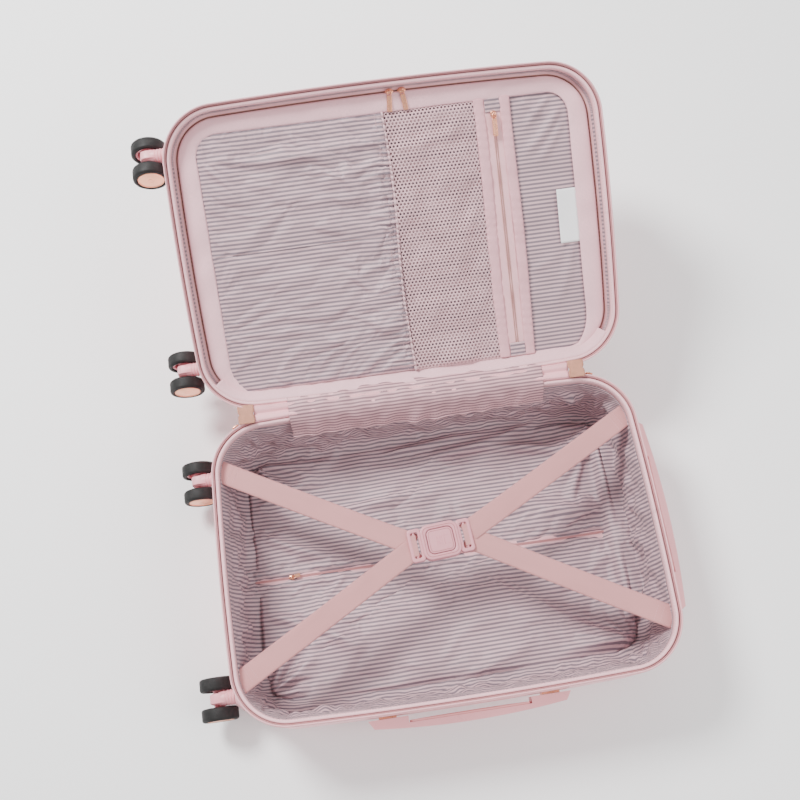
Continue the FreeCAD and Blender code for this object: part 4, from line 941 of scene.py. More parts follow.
# ---------------------------------------------------------------- zips
def zip_pair(name, path, material, body, at, gap=1.3, radius=0.75, pitch=1.3):
    """The two halves of a closed coil zip, side by side along a path in plan at one height."""
    path = np.asarray(path, float)
    run = run_along(path)
    count = int(run[-1] / 0.45)
    even = np.linspace(0, run[-1], count)
    path = sample(even, run, path)
    ahead = np.gradient(path, axis=0)
    ahead /= np.linalg.norm(ahead, axis=1, keepdims=True)
    side = np.c_[-ahead[:, 1], ahead[:, 0], np.zeros(count)]
    for half, where in (("a", -1), ("b", 1)):
        phase = 0 if where < 0 else math.pi
        swell = radius * (0.82 + 0.18 * np.cos(2 * math.pi * even / pitch + phase))
        rod_along("%s_%s" % (name, half), path + where * gap / 2 * side, swell, material, body, at, 7)


def zip_slider(name, place, heading, pull_heading, body, at=None, replaces=(), pull=22, size=1.0,
               lean=0.0):
    """A slider: nose-shaped body, bridge and a flat pull with a rounded end and a slot."""
    seat = Matrix.Translation(place) @ Matrix.Rotation(heading, 4, "Z") @ Matrix.Scale(size, 4)
    if at is not None:
        seat = at @ seat
    turns = np.linspace(0, 2 * math.pi, 28, endpoint=False)
    nose = np.c_[4.8 * np.cos(turns), (3.5 + 0.5 * np.cos(turns)) * np.sin(turns)]
    slab(name + "_body", nose, 0.0, 1.5, 0.5, rose_gold, body, seat, replaces)
    slab(name + "_top_plate", nose * 0.86, 1.9, 3.0, 0.45, rose_gold, body, seat, crown=0.3)
    arch = [(-3.0, 0, 2.6), (-2.8, 0, 4.2), (-1.6, 0, 5.0), (0, 0, 5.2),
            (1.6, 0, 5.0), (2.8, 0, 4.2), (3, 0, 2.6)]
    rod_along(name + "_bridge", arch, 0.75, rose_gold, body, seat, 8)
    hang = Matrix.Translation(place) @ Matrix.Rotation(pull_heading, 4, "Z") @ Matrix.Scale(size, 4)
    hang = hang @ Matrix.Translation((0, 0, 4.3)) @ Matrix.Rotation(lean, 4, "Y")
    if at is not None:
        hang = at @ hang
    loop = np.linspace(0, 2 * math.pi, 20, endpoint=False)
    eye = np.c_[2.2 + 2.9 * np.cos(loop), 2.3 * np.sin(loop), np.zeros(20)]
    rod_along(name + "_eye", eye, 0.62, rose_gold, body, hang, 7, closed=True)
    tab = rounded_plan(pull / 2 - 2.3, 2.9, 1.1, 4, (pull / 2 + 2.4, 0))
    slab(name + "_pull", tab, -0.55, 0.6, 0.3, rose_gold, body, hang)
    inner = rounded_plan(pull / 2 - 4.2, 1.5, 0.6, 4, (pull / 2 + 3.0, 0))
    frame_slab(name + "_pull_border", shrink(inner, -0.5), inner, 0.5, 0.85, 0.1, rose_gold, body, hang)


FLOOR_ZIP_LEVEL = TUB_FLOOR + 1.6
floor_line = [(x, 0.5 * math.sin(x / 31), FLOOR_ZIP_LEVEL) for x in np.linspace(-222, 205, 120)]
zip_pair("lining_zip_coil", floor_line, coil_rose, "rear_case", None)


def floor_zip_tape():
    """The floor zip's tape, laid under the lining's two folded lips."""
    x, y = np.linspace(-224, 206, 160), np.linspace(-8.5, 8.5, 9)
    points = on_grid(x[:, None], y[None] + 0.5 * np.sin(x / 31)[:, None],
                                          TUB_FLOOR + 0.75 + 0.1 * np.sin(x / 9)[:, None])
    uv = points[..., :2]
    cloth_grid("lining_zip_tape_woven", points, uv, zip_tape_pink, "rear_case", None,
               ("lining_zip_tape",), 0.5)


floor_zip_tape()
zip_slider("lining_slider", (-178, 0, FLOOR_ZIP_LEVEL + 0.4), 0, 0.12, "lining_slider", None,
           ("lining_zip_slider",), 13, 0.8, 0.05)


# ---------------------------------------------------------------- lid divider and its pockets
BORDER_TOP, PANEL_EDGE, PANEL_SIDE = HALF_WIDTH - 35, HALF_LENGTH - 37, 26
POCKET_SPLIT, MESH_EDGE, STRIP_EDGE = 3, 106, 147
BASE_INSET = 15.5


def divider_outline(inset, count=260):
    """The divider's edge from the hinge line on the wheel side round to the handle side, in plan."""
    run = np.linspace(0, LOOP, 6000, endpoint=False)
    plan, _ = round_case(run, np.full(len(run), inset))
    keep = plan[:, 1] >= HINGE_LINE + 0.2
    plan = plan[keep]
    turn = np.arctan2(-plan[:, 0], plan[:, 1])
    plan = plan[np.argsort(turn)][::-1]
    split = np.flatnonzero(np.hypot(*np.diff(plan, axis=0).T) > 50)
    if len(split):
        plan = np.roll(plan, -(split[0] + 1), 0)
    length = run_along(plan)
    even = np.linspace(0, length[-1], count)
    return sample(even, length, plan)


def panel_outline(count=260):
    """The striped panel's edge inside the border: two legs, two round corners, one top side."""
    leg_y = np.linspace(HINGE_LINE, BORDER_TOP - PANEL_SIDE, 60)
    leg = np.c_[-panel_half_width(leg_y), leg_y]
    turns = np.linspace(math.pi, math.pi / 2, 20)
    corner = np.c_[-PANEL_EDGE + PANEL_SIDE + PANEL_SIDE * np.cos(turns),
                   BORDER_TOP - PANEL_SIDE + PANEL_SIDE * np.sin(turns)]
    half = np.vstack([leg, corner[1:]])
    plan = np.vstack([half, half[::-1] * (-1, 1)])
    length = run_along(plan)
    even = np.linspace(0, length[-1], count)
    return sample(even, length, plan)


def panel_half_width(y):
    """How far the striped panel reaches to each side at a height up the divider."""
    taper = np.clip((-118 - y) / 39, 0, 1) ** 2
    return PANEL_EDGE - 17 * taper


def hinge_strip():
    """The linen strip that hinges the divider: sewn under the lid's piping, it runs down to the panel."""
    profile = [(8.2, 121.0), (8.9, 121.2), (12.5, 116.5), (16.5, 109.0), (21.0, 104.6), (21.0, 103.4),
               (15.5, 107.6), (11.5, 114.5), (8.2, 119.5)]
    band("divider_hinge_strip", profile, linen_pink, "lid", LID, step=2.5,
         span=(CORNERS[2] - 12, CORNERS[3] + 12))


def divider_base():
    """The divider's backing cloth, striped, laid over its stiffener."""
    out, run = disc_grid(70)
    plan, _ = round_case(run, np.full(run.shape, BASE_INSET))
    plan = plan * out[..., None]
    plan[..., 1] = np.where(plan[..., 1] < 0, plan[..., 1] * HINGE_LINE / -160.5, plan[..., 1])
    x, y = plan[..., 0], plan[..., 1]
    right = 1 / (1 + np.exp(-(x - STRIP_EDGE - 4) / 3)) * (1 / (1 + np.exp((x - PANEL_EDGE + 4) / 3)))
    lift = folds(x, y, ((206, 128), (150, 70), 5, 3.4, 5), ((196, 138), (158, 98), 4, 3.0, -3),
                 ((208, 112), (168, 60), 4, 2.4, 3), ((158, 136), (186, 112), 4, 2.6),
                 ((206, -20), (172, -110), 6, 2.6, 6), ((150, -60), (196, -40), 6, 1.6))
    lift = (lift + 0.5 * waves(x, y, 30, 31, stretch=1.6)) * right
    points = np.stack([x, y, DIVIDER_TOP - 1.0 + np.maximum(lift, -0.6) + 1.0 * right], -1)
    piece = make("divider_backing_cloth", points, grid_faces(*x.shape), stripe_panel, "divider",
                 points[..., :2], LID, ("divider_panel",))
    thicken(piece, 1.6, -1)


def divider_border():
    """The padded linen border: crowned between its edge piping and the seam round the panel."""
    outer, inner = divider_outline(15.2), panel_outline()
    share = np.linspace(0, 1, 15)
    plan = outer[:, None] * (1 - share[None, :, None]) + inner[:, None] * share[None, :, None]
    run = run_along(outer)
    crown = 1.5 * np.sin(math.pi * share) ** 0.6
    pucker = 0.35 * np.sin(run / 1.9 + 2 * np.sin(run / 23))[:, None] * np.clip(share * 3 - 1.7, 0, 1)[None]
    height = DIVIDER_TOP + 0.4 + crown[None] + pucker + 0.4 * waves(run, 0, 45, 32)[:, None] * crown[None]
    points = np.concatenate([plan, height[..., None]], -1)
    width = np.hypot(*(outer - inner).T)
    uv = on_grid(run[:, None], share[None] * width[:, None])
    piece = cloth_grid("divider_border", points, uv, linen_pink, "divider", LID, (), 1.6)
    edge = np.c_[outer, np.full(len(outer), DIVIDER_TOP + 0.3)]
    rod_along("divider_edge_piping", edge[::2], 1.0, linen_tape, "divider", LID, 8)
    for name, inset in (("inner", 0.9), ("outer", 0.12)):
        line = outer * (1 - inset) + inner * inset
        rise = DIVIDER_TOP + 0.5 + 1.5 * math.sin(math.pi * inset) ** 0.6
        stitches("divider_border_stitches_" + name, np.c_[line, np.full(len(line), rise)], thread_pink,
                 "divider", LID, 3.2, 2.3, 0.45)


def divider_zip():
    """The zip round the divider: fixed tape on the lid, moving tape on the divider, closed coil between."""
    low = HINGE_LINE + 12
    for name, near, far, body, replaces in (("fixed", 7.0, 13.0, "lid", ("divider_zip_tape",)),
                                            ("moving", 13.9, 15.2, "divider", ())):
        outer, inner = divider_outline(near, 400), divider_outline(far, 400)
        keep = outer[:, 1] > low
        outer, inner = outer[keep], inner[keep]
        share = np.linspace(0, 1, 7)
        plan = outer[:, None] * (1 - share[None, :, None]) + inner[:, None] * share[None, :, None]
        run = run_along(outer)
        height = 104.9 + 0.5 * waves(run, 0, 50, 33)[:, None] * (1 - share[None])
        points = np.concatenate([plan, height[..., None]], -1)
        uv = on_grid(run[:, None], share[None] * (far - near))
        cloth_grid("divider_zip_tape_" + name, points, uv, zip_tape_pink, body, LID, replaces,
                   0.6)
    line = divider_outline(13.4, 500)
    line = line[line[:, 1] > low + 4]
    path = np.c_[line, np.full(len(line), 105.5)]
    zip_pair("divider_zip_coil", path, coil_brown, "lid", LID, 1.5, 0.62)
    seam = divider_outline(9.2, 500)
    seam = seam[seam[:, 1] > low + 4]
    stitches("divider_zip_stitches", np.c_[seam, np.full(len(seam), 105.4)], thread_tan, "lid",
             LID, 3.0, 2.2, 0.4)


def end_patches():
    """The small striped patches that cover the divider zip's two ends."""
    for name, side in (("left", -1), ("right", 1)):
        outer = rounded_plan(8.5, 6.5, 1.2, 4)
        rows, columns = np.linspace(-6.5, 6.5, 12), np.linspace(-8.5, 8.5, 16)
        seat = Matrix.Translation((side * 219, HINGE_LINE + 13, 105.9)) @ Matrix.Rotation(side * -0.5, 4, "Z")
        height = 0.5 + 0.3 * waves(columns[None], rows[:, None], 9, 34 + side)
        points = on_grid(columns[None], rows[:, None], height)
        cloth_grid("zip_end_patch_" + name, points, points[..., :2], stripe_panel, "lid",
                   LID @ seat, (), 0.6)
        path = np.c_[outer, np.full(len(outer), 1.1)]
        stitches("zip_end_patch_stitches_" + name, path, thread_pink, "lid", LID @ seat)


def gathered_pocket():
    """The big striped pocket; elastic gathers its free edge into ruffles and pulls folds across it."""
    low, high = HINGE_LINE + 1.5, BORDER_TOP + 1
    rows, columns = 230, 170
    v = np.linspace(0, 1, rows)[:, None]
    u = np.linspace(0, 1, columns)[None] ** 0.9
    y = low + (high - low) * v + 0 * u
    edge = POCKET_SPLIT - 2.0 + 2.0 * np.sin(y / 40)
    x = -panel_half_width(y) - 1 + (edge + panel_half_width(y) + 1) * u
    reach = np.clip((x + 46) / 46, 0, 1)
    ruffle = (np.sin(y / 1.02 + 2.2 * np.sin(y / 13)) + 0.7 * np.sin(y / 1.71 + 1.3 * np.sin(y / 21) + 2)
              + 0.5 * np.sin(y / 0.66 + x / 9))
    height = 1.05 * ruffle * reach ** 2.4 + 0.6 * waves(x, y, 30, 41, stretch=2.2) * (0.3 + reach)
    height += 2.2 * np.exp(-((x + 2) / 5) ** 2)
    height += folds(x, y, ((-4, 92), (-96, 72), 6, 3.6, 4), ((-2, 107), (-150, 96), 7, 3.2, -6),
                    ((-205, 112), (-60, 104), 6, 3.0, -3), ((-206, 108), (-160, 60), 5, 1.4),
                    ((-5, 75), (-90, 64), 5, 2.6, 3), ((-3, 10), (-110, 36), 7, 2.0, 5),
                    ((-2, -22), (-95, -58), 7, 2.8, -5), ((-3, -45), (-120, -84), 6, 2.0, 4),
                    ((-3, -98), (-110, -118), 7, 1.8, -4), ((-5, 50), (-130, 56), 6, 1.8))
    height += crumple(x, y, 42, 34, (-200, -150, -30, 120), (35, 100), (4, 9), (0.4, 1.5), 0.35)
    seam = np.exp(-((y - 4) / 1.1) ** 2)
    height = height * (1 - 0.5 * seam) - 0.7 * seam
    tie = np.sqrt(np.clip((x + panel_half_width(y)) / 9, 0, 1) * np.clip((high - y) / 8, 0, 1)
                  * np.clip((y - low) / 5, 0, 1))
    points = np.stack([x, y, DIVIDER_TOP + 0.9 + np.maximum(height, -0.8) * tie + 1.1 * tie], -1)
    shift = 1.6 * np.sin(y / 2.1) * reach ** 3
    uv = np.stack([x, y + 0.5 * shift], -1)
    piece = make("gathered_pocket_cloth", points, grid_faces(rows, columns), stripe_panel, "divider",
                 uv, LID, ("gathered_pocket",))
    held = (tie < 0.25) | (np.abs(x - edge) < 2)
    up = np.broadcast_to(np.array(LID)[:3, 2], (rows * columns, 3))
    settle(piece, held.ravel(), 0.03, 12, 5, up)
    thicken(piece, 0.4, 1)
    edge_y = np.linspace(low + 1, high - 1, 460)
    swell = 0.9 * np.sin(edge_y / 1.02 + 2.2 * np.sin(edge_y / 13))
    hem_x = POCKET_SPLIT - 1.6 + 2.0 * np.sin(edge_y / 40) + 0.3 * swell
    hem = np.c_[hem_x, edge_y, DIVIDER_TOP + 3.6 + swell]
    rod_along("gathered_pocket_hem", hem, 1.35 + 0.2 * swell, stripe_panel, "divider", LID,
              10)
    line = np.c_[hem_x - 9, edge_y, DIVIDER_TOP + 3.4 + 0.9 * swell]
    stitches("gathered_pocket_stitches", line, thread_pink, "divider", LID, 3.0, 2.1, 0.45)


def mesh_pocket():
    """The net pocket: a knitted sheet with rows of small holes, slack enough to wave."""
    low, high = HINGE_LINE + 1.5, BORDER_TOP + 1
    pitch_x, pitch_y = 4.2, 3.6
    columns, rows = int((MESH_EDGE - POCKET_SPLIT + 3) / pitch_x), int((high - low) / pitch_y)
    column, row = np.meshgrid(np.arange(columns), np.arange(rows))
    centre_x = POCKET_SPLIT - 1.5 + pitch_x * (column + 0.5 * (row % 2) + 0.4)
    centre_y = low + pitch_y * (row + 0.5)
    turns = math.radians(30) + np.arange(6) * math.pi / 3
    ring = np.stack([np.cos(turns), np.sin(turns)], 1) * (pitch_x / math.sqrt(3), pitch_y * 2 / 3)
    centres = np.stack([centre_x, centre_y], -1).reshape(-1, 1, 2)
    outer = centres + ring[None]
    inner = centres + ring[None] * 0.62
    points = np.concatenate([outer, inner], 1).reshape(-1, 2)
    sides = [(side, (side + 1) % 6, 6 + (side + 1) % 6, 6 + side) for side in range(6)]
    faces = [[12 * cell + corner for corner in side] for cell in range(columns * rows) for side in sides]
    x, y = points[:, 0], points[:, 1]
    tie = np.clip((x - POCKET_SPLIT) / 12, 0, 1) * np.clip((MESH_EDGE + 1 - x) / 8, 0, 1)
    tie = np.sqrt(tie * np.clip((high - y) / 8, 0, 1) * np.clip((y - low) / 6, 0, 1))
    height = 2.6 + 2.0 * waves(x, y, 62, 51, 6) + 0.8 * waves(x, y, 24, 52)
    height += folds(x, y, ((6, 98), (100, 118), 7, 4.2, -4), ((8, 88), (102, 84), 9, 3.2, 6),
                    ((10, 60), (40, -10), 8, 3.0, 5), ((100, 30), (60, -70), 9, 4.0, -6))
    lift = DIVIDER_TOP + 0.8 + np.maximum(height, 0.0) * tie + 2.4 * np.exp(-((x - POCKET_SPLIT) / 6) ** 2)
    piece = make("mesh_pocket_net", np.c_[points, lift], faces, mesh_thread, "divider",
                 np.c_[x, y], LID, ("mesh_pocket",))
    work = bmesh.new()
    work.from_mesh(piece.data)
    bmesh.ops.remove_doubles(work, verts=work.verts, dist=0.15 * MM)
    work.to_mesh(piece.data)
    work.free()
    thicken(piece, 0.35, 1)


def pocket_strip():
    """The zip strip beside the net: two linen tapes, the zip between them, its patches and its slider."""
    low, high = HINGE_LINE + 1.5, BORDER_TOP + 1
    middle = (MESH_EDGE + STRIP_EDGE) / 2
    y = np.linspace(low, high, 260)
    for name, left, right, phase in (("inner", MESH_EDGE - 1, MESH_EDGE + 10.5, 0),
                                     ("outer", STRIP_EDGE - 11, STRIP_EDGE, 2)):
        x = np.linspace(left, right, 11)
        share = np.linspace(0, 1, 11)
        crown = 1.1 * np.sin(math.pi * share) ** 0.5
        pucker = 0.4 * np.sin(y / 1.9 + 3 * np.sin(y / 17) + phase)[:, None] * np.abs(2 * share - 1)[None]
        height = DIVIDER_TOP + 1.3 + crown[None] + pucker + 0.35 * waves(y, 0, 40, 61 + phase)[:, None]
        sway = 0.9 * np.sin(y / 47 + phase)[:, None]
        points = on_grid(x[None] + sway, y[:, None], height)
        uv = on_grid(y[:, None], x[None])
        cloth_grid("pocket_strip_tape_" + name, points, uv, linen_tape, "divider", LID, (), 1.0)
        for place in (left + 1.2, right - 1.2):
            line = np.c_[place + sway[:, 0], y, DIVIDER_TOP + 2.2 + 0.35 * waves(y, 0, 40, 61 + phase)]
            stitches("pocket_strip_stitches_%s_%d" % (name, place), line, thread_pink, "divider",
                     LID, 3.2, 2.3, 0.45)
    x = np.linspace(MESH_EDGE + 9, STRIP_EDGE - 9.5, 9)
    height = DIVIDER_TOP + 0.9 + 0.3 * waves(y, 0, 35, 66)[:, None]
    points = on_grid(x[None], y[:, None], height)
    uv = on_grid(y[:, None], x[None])
    cloth_grid("pocket_zip_tape_woven", points, uv, zip_tape_pink, "divider", LID,
               ("pocket_zip_tape",), 0.6)
    path = [(middle, place, DIVIDER_TOP + 1.9) for place in np.linspace(low + 14, high - 14, 90)]
    zip_pair("pocket_zip_coil", path, coil_brown, "divider", LID, 2.2, 0.7)
    for name, at in (("top", high - 8), ("bottom", low + 8)):
        rows, columns = np.linspace(-8, 8, 12), np.linspace(-9, 9, 14)
        height = DIVIDER_TOP + 1.9 + 0.25 * waves(columns[None], rows[:, None], 8, 67)
        points = on_grid(middle + columns[None], at + rows[:, None], height)
        cloth_grid("pocket_zip_patch_" + name, points, points[..., :2], stripe_panel, "divider",
                   LID, (), 0.6)
    zip_slider("pocket_slider", (middle, high - 19, DIVIDER_TOP + 2.6), math.pi / 2, -math.pi / 2,
               "pocket_slider", LID, ("pocket_zip_slider",), 24, 1.0, 0.06)


def care_label():
    """A blank woven label, sewn at one edge and lifting a little at the other."""
    x, y = np.linspace(190, 213, 14), np.linspace(-31, 31, 26)
    lift = 0.6 + 1.6 * ((213 - x[None]) / 23) ** 1.6 + 0.5 * np.sin(y / 13)[:, None] * (213 - x[None]) / 23
    points = on_grid(x[None], y[:, None], DIVIDER_TOP + 0.9 + lift)
    piece = cloth_grid("care_label_satin", points, points[..., :2], label_satin, "divider",
                       LID, ("care_label",), 0.35)
    seam = [(211.4, place, DIVIDER_TOP + 1.9) for place in np.linspace(-30, 30, 30)]
    stitches("care_label_stitches", seam, thread_pink, "divider", LID, 2.8, 2.0, 0.4)


hinge_strip()
divider_base()
divider_border()
divider_zip()
end_patches()
gathered_pocket()
mesh_pocket()
pocket_strip()
care_label()
for side, offset, turn in (("left", -7, -math.pi / 2 - 0.1), ("right", 7, -math.pi / 2 + 0.12)):
    zip_slider("divider_slider_" + side, (19 + offset, HALF_WIDTH - 15 + 1.2, 106.4), 0, turn,
               "divider_sliders", LID, ("divider_zip_sliders",), 22, 1.0, 0.02)


# ---------------------------------------------------------------- hinge: satin tape, flap and end tabs
REAR_EDGE = Vector((0, HALF_WIDTH - 3.0, RIM + 5.4))
LID_EDGE = LID @ Vector((0, -HALF_WIDTH + 3.0, RIM + 5.4))


def across_hinge(share, lift=0.0):
    """A place on the way over the hinge gap, from the rear rim's edge to the lid rim's edge."""
    start, stop = np.array(REAR_EDGE), np.array(LID_EDGE)
    middle = np.array(HINGE) + (0, 0, lift)
    share = np.asarray(share)[..., None]
    return start * (1 - share) ** 2 + 2 * middle * share * (1 - share) + stop * share ** 2


def bend_over_hinge(piece):
    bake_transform(piece)


def smooth_section(knots, count, passes):
    """A cloth's cross-section through its knots, evened out, and its running length."""
    section = sample(np.linspace(0, len(knots) - 1, count), np.arange(len(knots)), knots)
    for _ in range(passes):
        section[1:-1] = (section[:-2] + 2 * section[1:-1] + section[2:]) / 4
    return section, run_along(section)


def hinge_tape():
    """The satin tape that joins the halves: sewn outside both rims, folded on its centre line."""
    x = np.linspace(-192, 180, 190)
    rear_side = np.array([(0, HALF_WIDTH - 4.2, RIM + 2.6), (0, HALF_WIDTH - 3.6, RIM + 6.0),
                          (0, HALF_WIDTH - 1.0, RIM + 6.5), (0, HALF_WIDTH + 0.9, RIM + 5.6)])
    flipped = (rear_side * (1, -1, 1))[::-1] @ np.array(LID)[:3, :3].T + np.array(LID)[:3, 3]
    knots = np.vstack([rear_side, flipped])
    section, girth = smooth_section(knots, 40, 3)
    middle = girth[-1] / 2
    fold_in = 1.2 * np.exp(-((girth - middle) / 1.0) ** 2)
    section[:, 2] -= fold_in
    bow = x[:, None] ** 2 / (2 * SIDE_BOW)
    side = np.clip((girth[None] - middle) / 6, -1, 1)
    points = np.empty((len(x), len(section), 3))
    points[..., 0] = x[:, None]
    points[..., 1] = section[None, :, 1] + bow * side * 0.9
    points[..., 2] = section[None, :, 2] + 0.25 * waves(x[:, None], girth[None], 26, 71)
    uv = on_grid(x[:, None], girth[None])
    piece = make("hinge_tape_satin", points, grid_faces(len(x), len(section)), hinge_satin, None,
                 uv, replaces=("hinge_tape",))
    thicken(piece, 0.8, 0)
    bend_over_hinge(piece)
    for name, column in (("rear", 6), ("lid", len(section) - 7)):
        bend_over_hinge(stitches("hinge_tape_stitches_" + name, points[:, column] + (0, 0, 0.5), thread_pink,
                                 None))


def hinge_flap():
    """The striped flap sewn to the lid's edge: it hides the hinge and droops into the rear half."""
    x = np.linspace(-152, 149, 170)
    lid_side = [LID @ Vector((0, inset - HALF_WIDTH, RIM + rise))
                for inset, rise in ((12.5, -5), (9.5, 1.5), (5.5, 4.6), (0.5, 7.4))]
    rear_side = [(0, HALF_WIDTH - inset, RIM + rise)
                 for inset, rise in ((-1, 7.8), (5, 6.6), (10, 3.2), (15, -3), (20, -12), (24, -21))]
    knots = np.array([*[list(place) for place in lid_side], *rear_side])
    section, girth = smooth_section(knots, 64, 8)
    free = np.clip((girth - 0.45 * girth[-1]) / (0.55 * girth[-1]), 0, 1)[None]
    billow = 2.6 * waves(x, 0, 85, 73)[:, None] + 1.5 * waves(x[:, None], girth[None], 30, 74, stretch=0.6)
    crease = 0.7 * waves(x[:, None], girth[None], 26, 76, 6) * (1 - free)
    points = np.empty((len(x), len(section), 3))
    points[..., 0] = x[:, None] * (1 - 0.006 * free)
    points[..., 1] = section[None, :, 1] - free * np.maximum(billow + 0.5, -0.8)
    points[..., 2] = section[None, :, 2] + free * np.maximum(0.5 * billow, -1.0) + crease
    uv = on_grid(x[:, None], girth[None])
    piece = make("hinge_flap_cloth", points, grid_faces(len(x), len(section)), flap_stripe, None,
                 uv, replaces=("hinge_flap",))
    thicken(piece, 0.5, 0)
    bend_over_hinge(piece)
    bend_over_hinge(rod_along("hinge_flap_hem", points[:, -2] + (0, 0, 0.2), 0.75, flap_stripe, None))
    bend_over_hinge(stitches("hinge_flap_stitches", points[:, -6] + (0, 0, 0.4), thread_pink, None))


def end_tab(name, middle):
    """A notched tan leather tab sewn over the end of the hinge zip, folded over both rims."""
    u, v = np.linspace(-9.5, 9.5, 22), np.linspace(0, 1, 26)
    notch = 1.6 * np.exp(-((v - 0.5) / 0.08) ** 2) + 0.8 * np.clip(np.abs(v - 0.5) * 8 - 3.2, 0, 1)
    section = across_hinge(v, 2.0)
    bow = middle ** 2 / (2 * SIDE_BOW) * 1.6
    width = 1 - notch / 9.5
    points = np.empty((len(u), len(v), 3))
    points[..., 0] = middle + u[:, None] * width[None]
    drop = bow * (2 * np.abs(v - 0.5))[None] * np.sign(v - 0.5)[None]
    points[..., 1] = section[None, :, 1] + drop
    points[..., 2] = section[None, :, 2] + 1.5 + 0.5 * (1 - (u[:, None] / 9.5) ** 2)
    piece = make("zip_end_tab_" + name, points, grid_faces(len(u), len(v)), tan_leather, None,
                 on_grid(u[:, None], v[None] * 14),
                 replaces=("zip_end_tabs",) if middle < 0 else ())
    thicken(piece, 1.1, 0)
    bend_over_hinge(piece)
    for edge, row in (("near", 2), ("far", 20)):
        bend_over_hinge(stitches("zip_end_tab_stitches_%s_%s" % (name, edge), points[row] + (0, 0, 0.75),
                                 thread_tan, None, None, 2.6, 1.8, 0.4))


hinge_tape()
hinge_flap()
end_tab("left", -201)
end_tab("right", 189)


def main_slider(name, x):
    """A main zip slider parked outside the rim beside its end tab, its pull hanging down the wall."""
    run = RUN[np.argmin(np.abs(OUTLINE[:, 0] - x) + 1000 * (OUTLINE[:, 1] < 0))]
    place, normal = round_case(np.array([run]), np.array([-0.6]))
    turn = math.atan2(normal[0, 1], normal[0, 0]) + math.pi / 2
    seat = (Matrix.Translation((*place[0], RIM + 2.2)) @ Matrix.Rotation(turn, 4, "Z")
            @ Matrix.Rotation(math.pi / 2, 4, "X"))
    body = rounded_plan(4.2, 3.1, 1.6, 4)
    slab(name + "_body", body, -0.4, 1.3, 0.5, rose_gold, "rear_case", seat,
         ("main_zip_sliders",) if x < 0 else (), crown=0.3)
    slab(name + "_pull", rounded_plan(3.1, 9.6, 1.2, 4, (0, -11)), 0.2, 1.3, 0.35, rose_gold, "rear_case",
         seat)
    arch = [(0, -3.4, 1.0), (0, -3.0, 2.0), (0, -1.0, 2.4), (0, 1.0, 2.2), (0, 2.4, 1.2)]
    rod_along(name + "_bridge", arch, 0.6, rose_gold, "rear_case", seat, 7)


main_slider("main_slider_left", -215.5)
main_slider("main_slider_right", 203.5)

# ---------------------------------------------------------------- casters
WHEEL_RADIUS, WHEEL_WIDTH, RIM_RADIUS, HALF_GAUGE, TRAIL, STEM_REACH = 21, 15, 16, 16.5, 12, 25


def arc_profile(middle, radius, start, stop, steps=5):
    turns = np.radians(np.linspace(start, stop, steps))
    return [(middle[0] + radius * math.cos(turn), middle[1] + radius * math.sin(turn)) for turn in turns]


def wheel(name, seat):
    """A rubber tyre, a spoked pink hub and a dished rose-gold cap on the outer side."""
    half = WHEEL_WIDTH / 2
    tyre = [(RIM_RADIUS, -half + 1), *arc_profile((17.9, -half + 3.1), 3.1, -110, 0),
            (WHEEL_RADIUS - 0.1, -1.2), (WHEEL_RADIUS, 0), (WHEEL_RADIUS - 0.1, 1.2),
            *arc_profile((17.9, half - 3.1), 3.1, 0, 110), (RIM_RADIUS, half - 1)]
    lathe("tyre_%s_rubber" % name, tyre, tyre_black, "wheel_" + name, seat,
          ("tyre_" + name,), 64)
    rim = [(13.2, -4.6), (13.6, -5.4), (15.4, -5.6), (16.05, -5.0), (16.05, 5.2), (13.4, 5.2), (13.2, 4.4)]
    lathe("hub_%s_rim" % name, rim, hub_pink, "wheel_" + name, seat, ("hub_" + name,))
    boss = [(2.6, -10.6), (5.4, -10.6), (6.1, -10.0), (6.5, -6.0), (6.9, -4.4), (6.9, 4.8), (2.6, 4.8)]
    lathe("hub_%s_boss" % name, boss, hub_pink, "wheel_" + name, seat, (), 32)
    for number in range(5):
        turn = Matrix.Rotation(number * 2 * math.pi / 5, 4, "Y") @ Matrix.Rotation(-math.pi / 2, 4, "X")
        arm = np.array([(5.8, -2.4), (9.6, -1.4), (13.8, -2.6), (13.8, 2.6), (9.6, 1.4), (5.8, 2.4)])
        slab("hub_%s_spoke_%d" % (name, number), arm, -3.2, 3.4, 0.5, hub_pink, "wheel_" + name,
             seat @ turn)
    web = [(6, 3.0), (14, 3.0), (14, 4.4), (6, 4.4)]
    lathe("hub_%s_web" % name, web, hub_pink, "wheel_" + name, seat)
    cap = [(0.05, 5.3), (15.2, 5.3), (15.5, 5.8), (15.4, 6.9), (15.0, 7.3), (14.5, 7.25), (14.2, 6.7),
           (13.8, 6.55), (11.5, 6.85), (7.4, 7.2), (3.8, 7.3), (3.5, 7.05), (3.2, 7.05), (2.9, 7.35),
           (0.05, 7.4)]
    lathe("cap_%s_rose" % name, cap, rose_cap, "wheel_" + name, seat, (), 64)


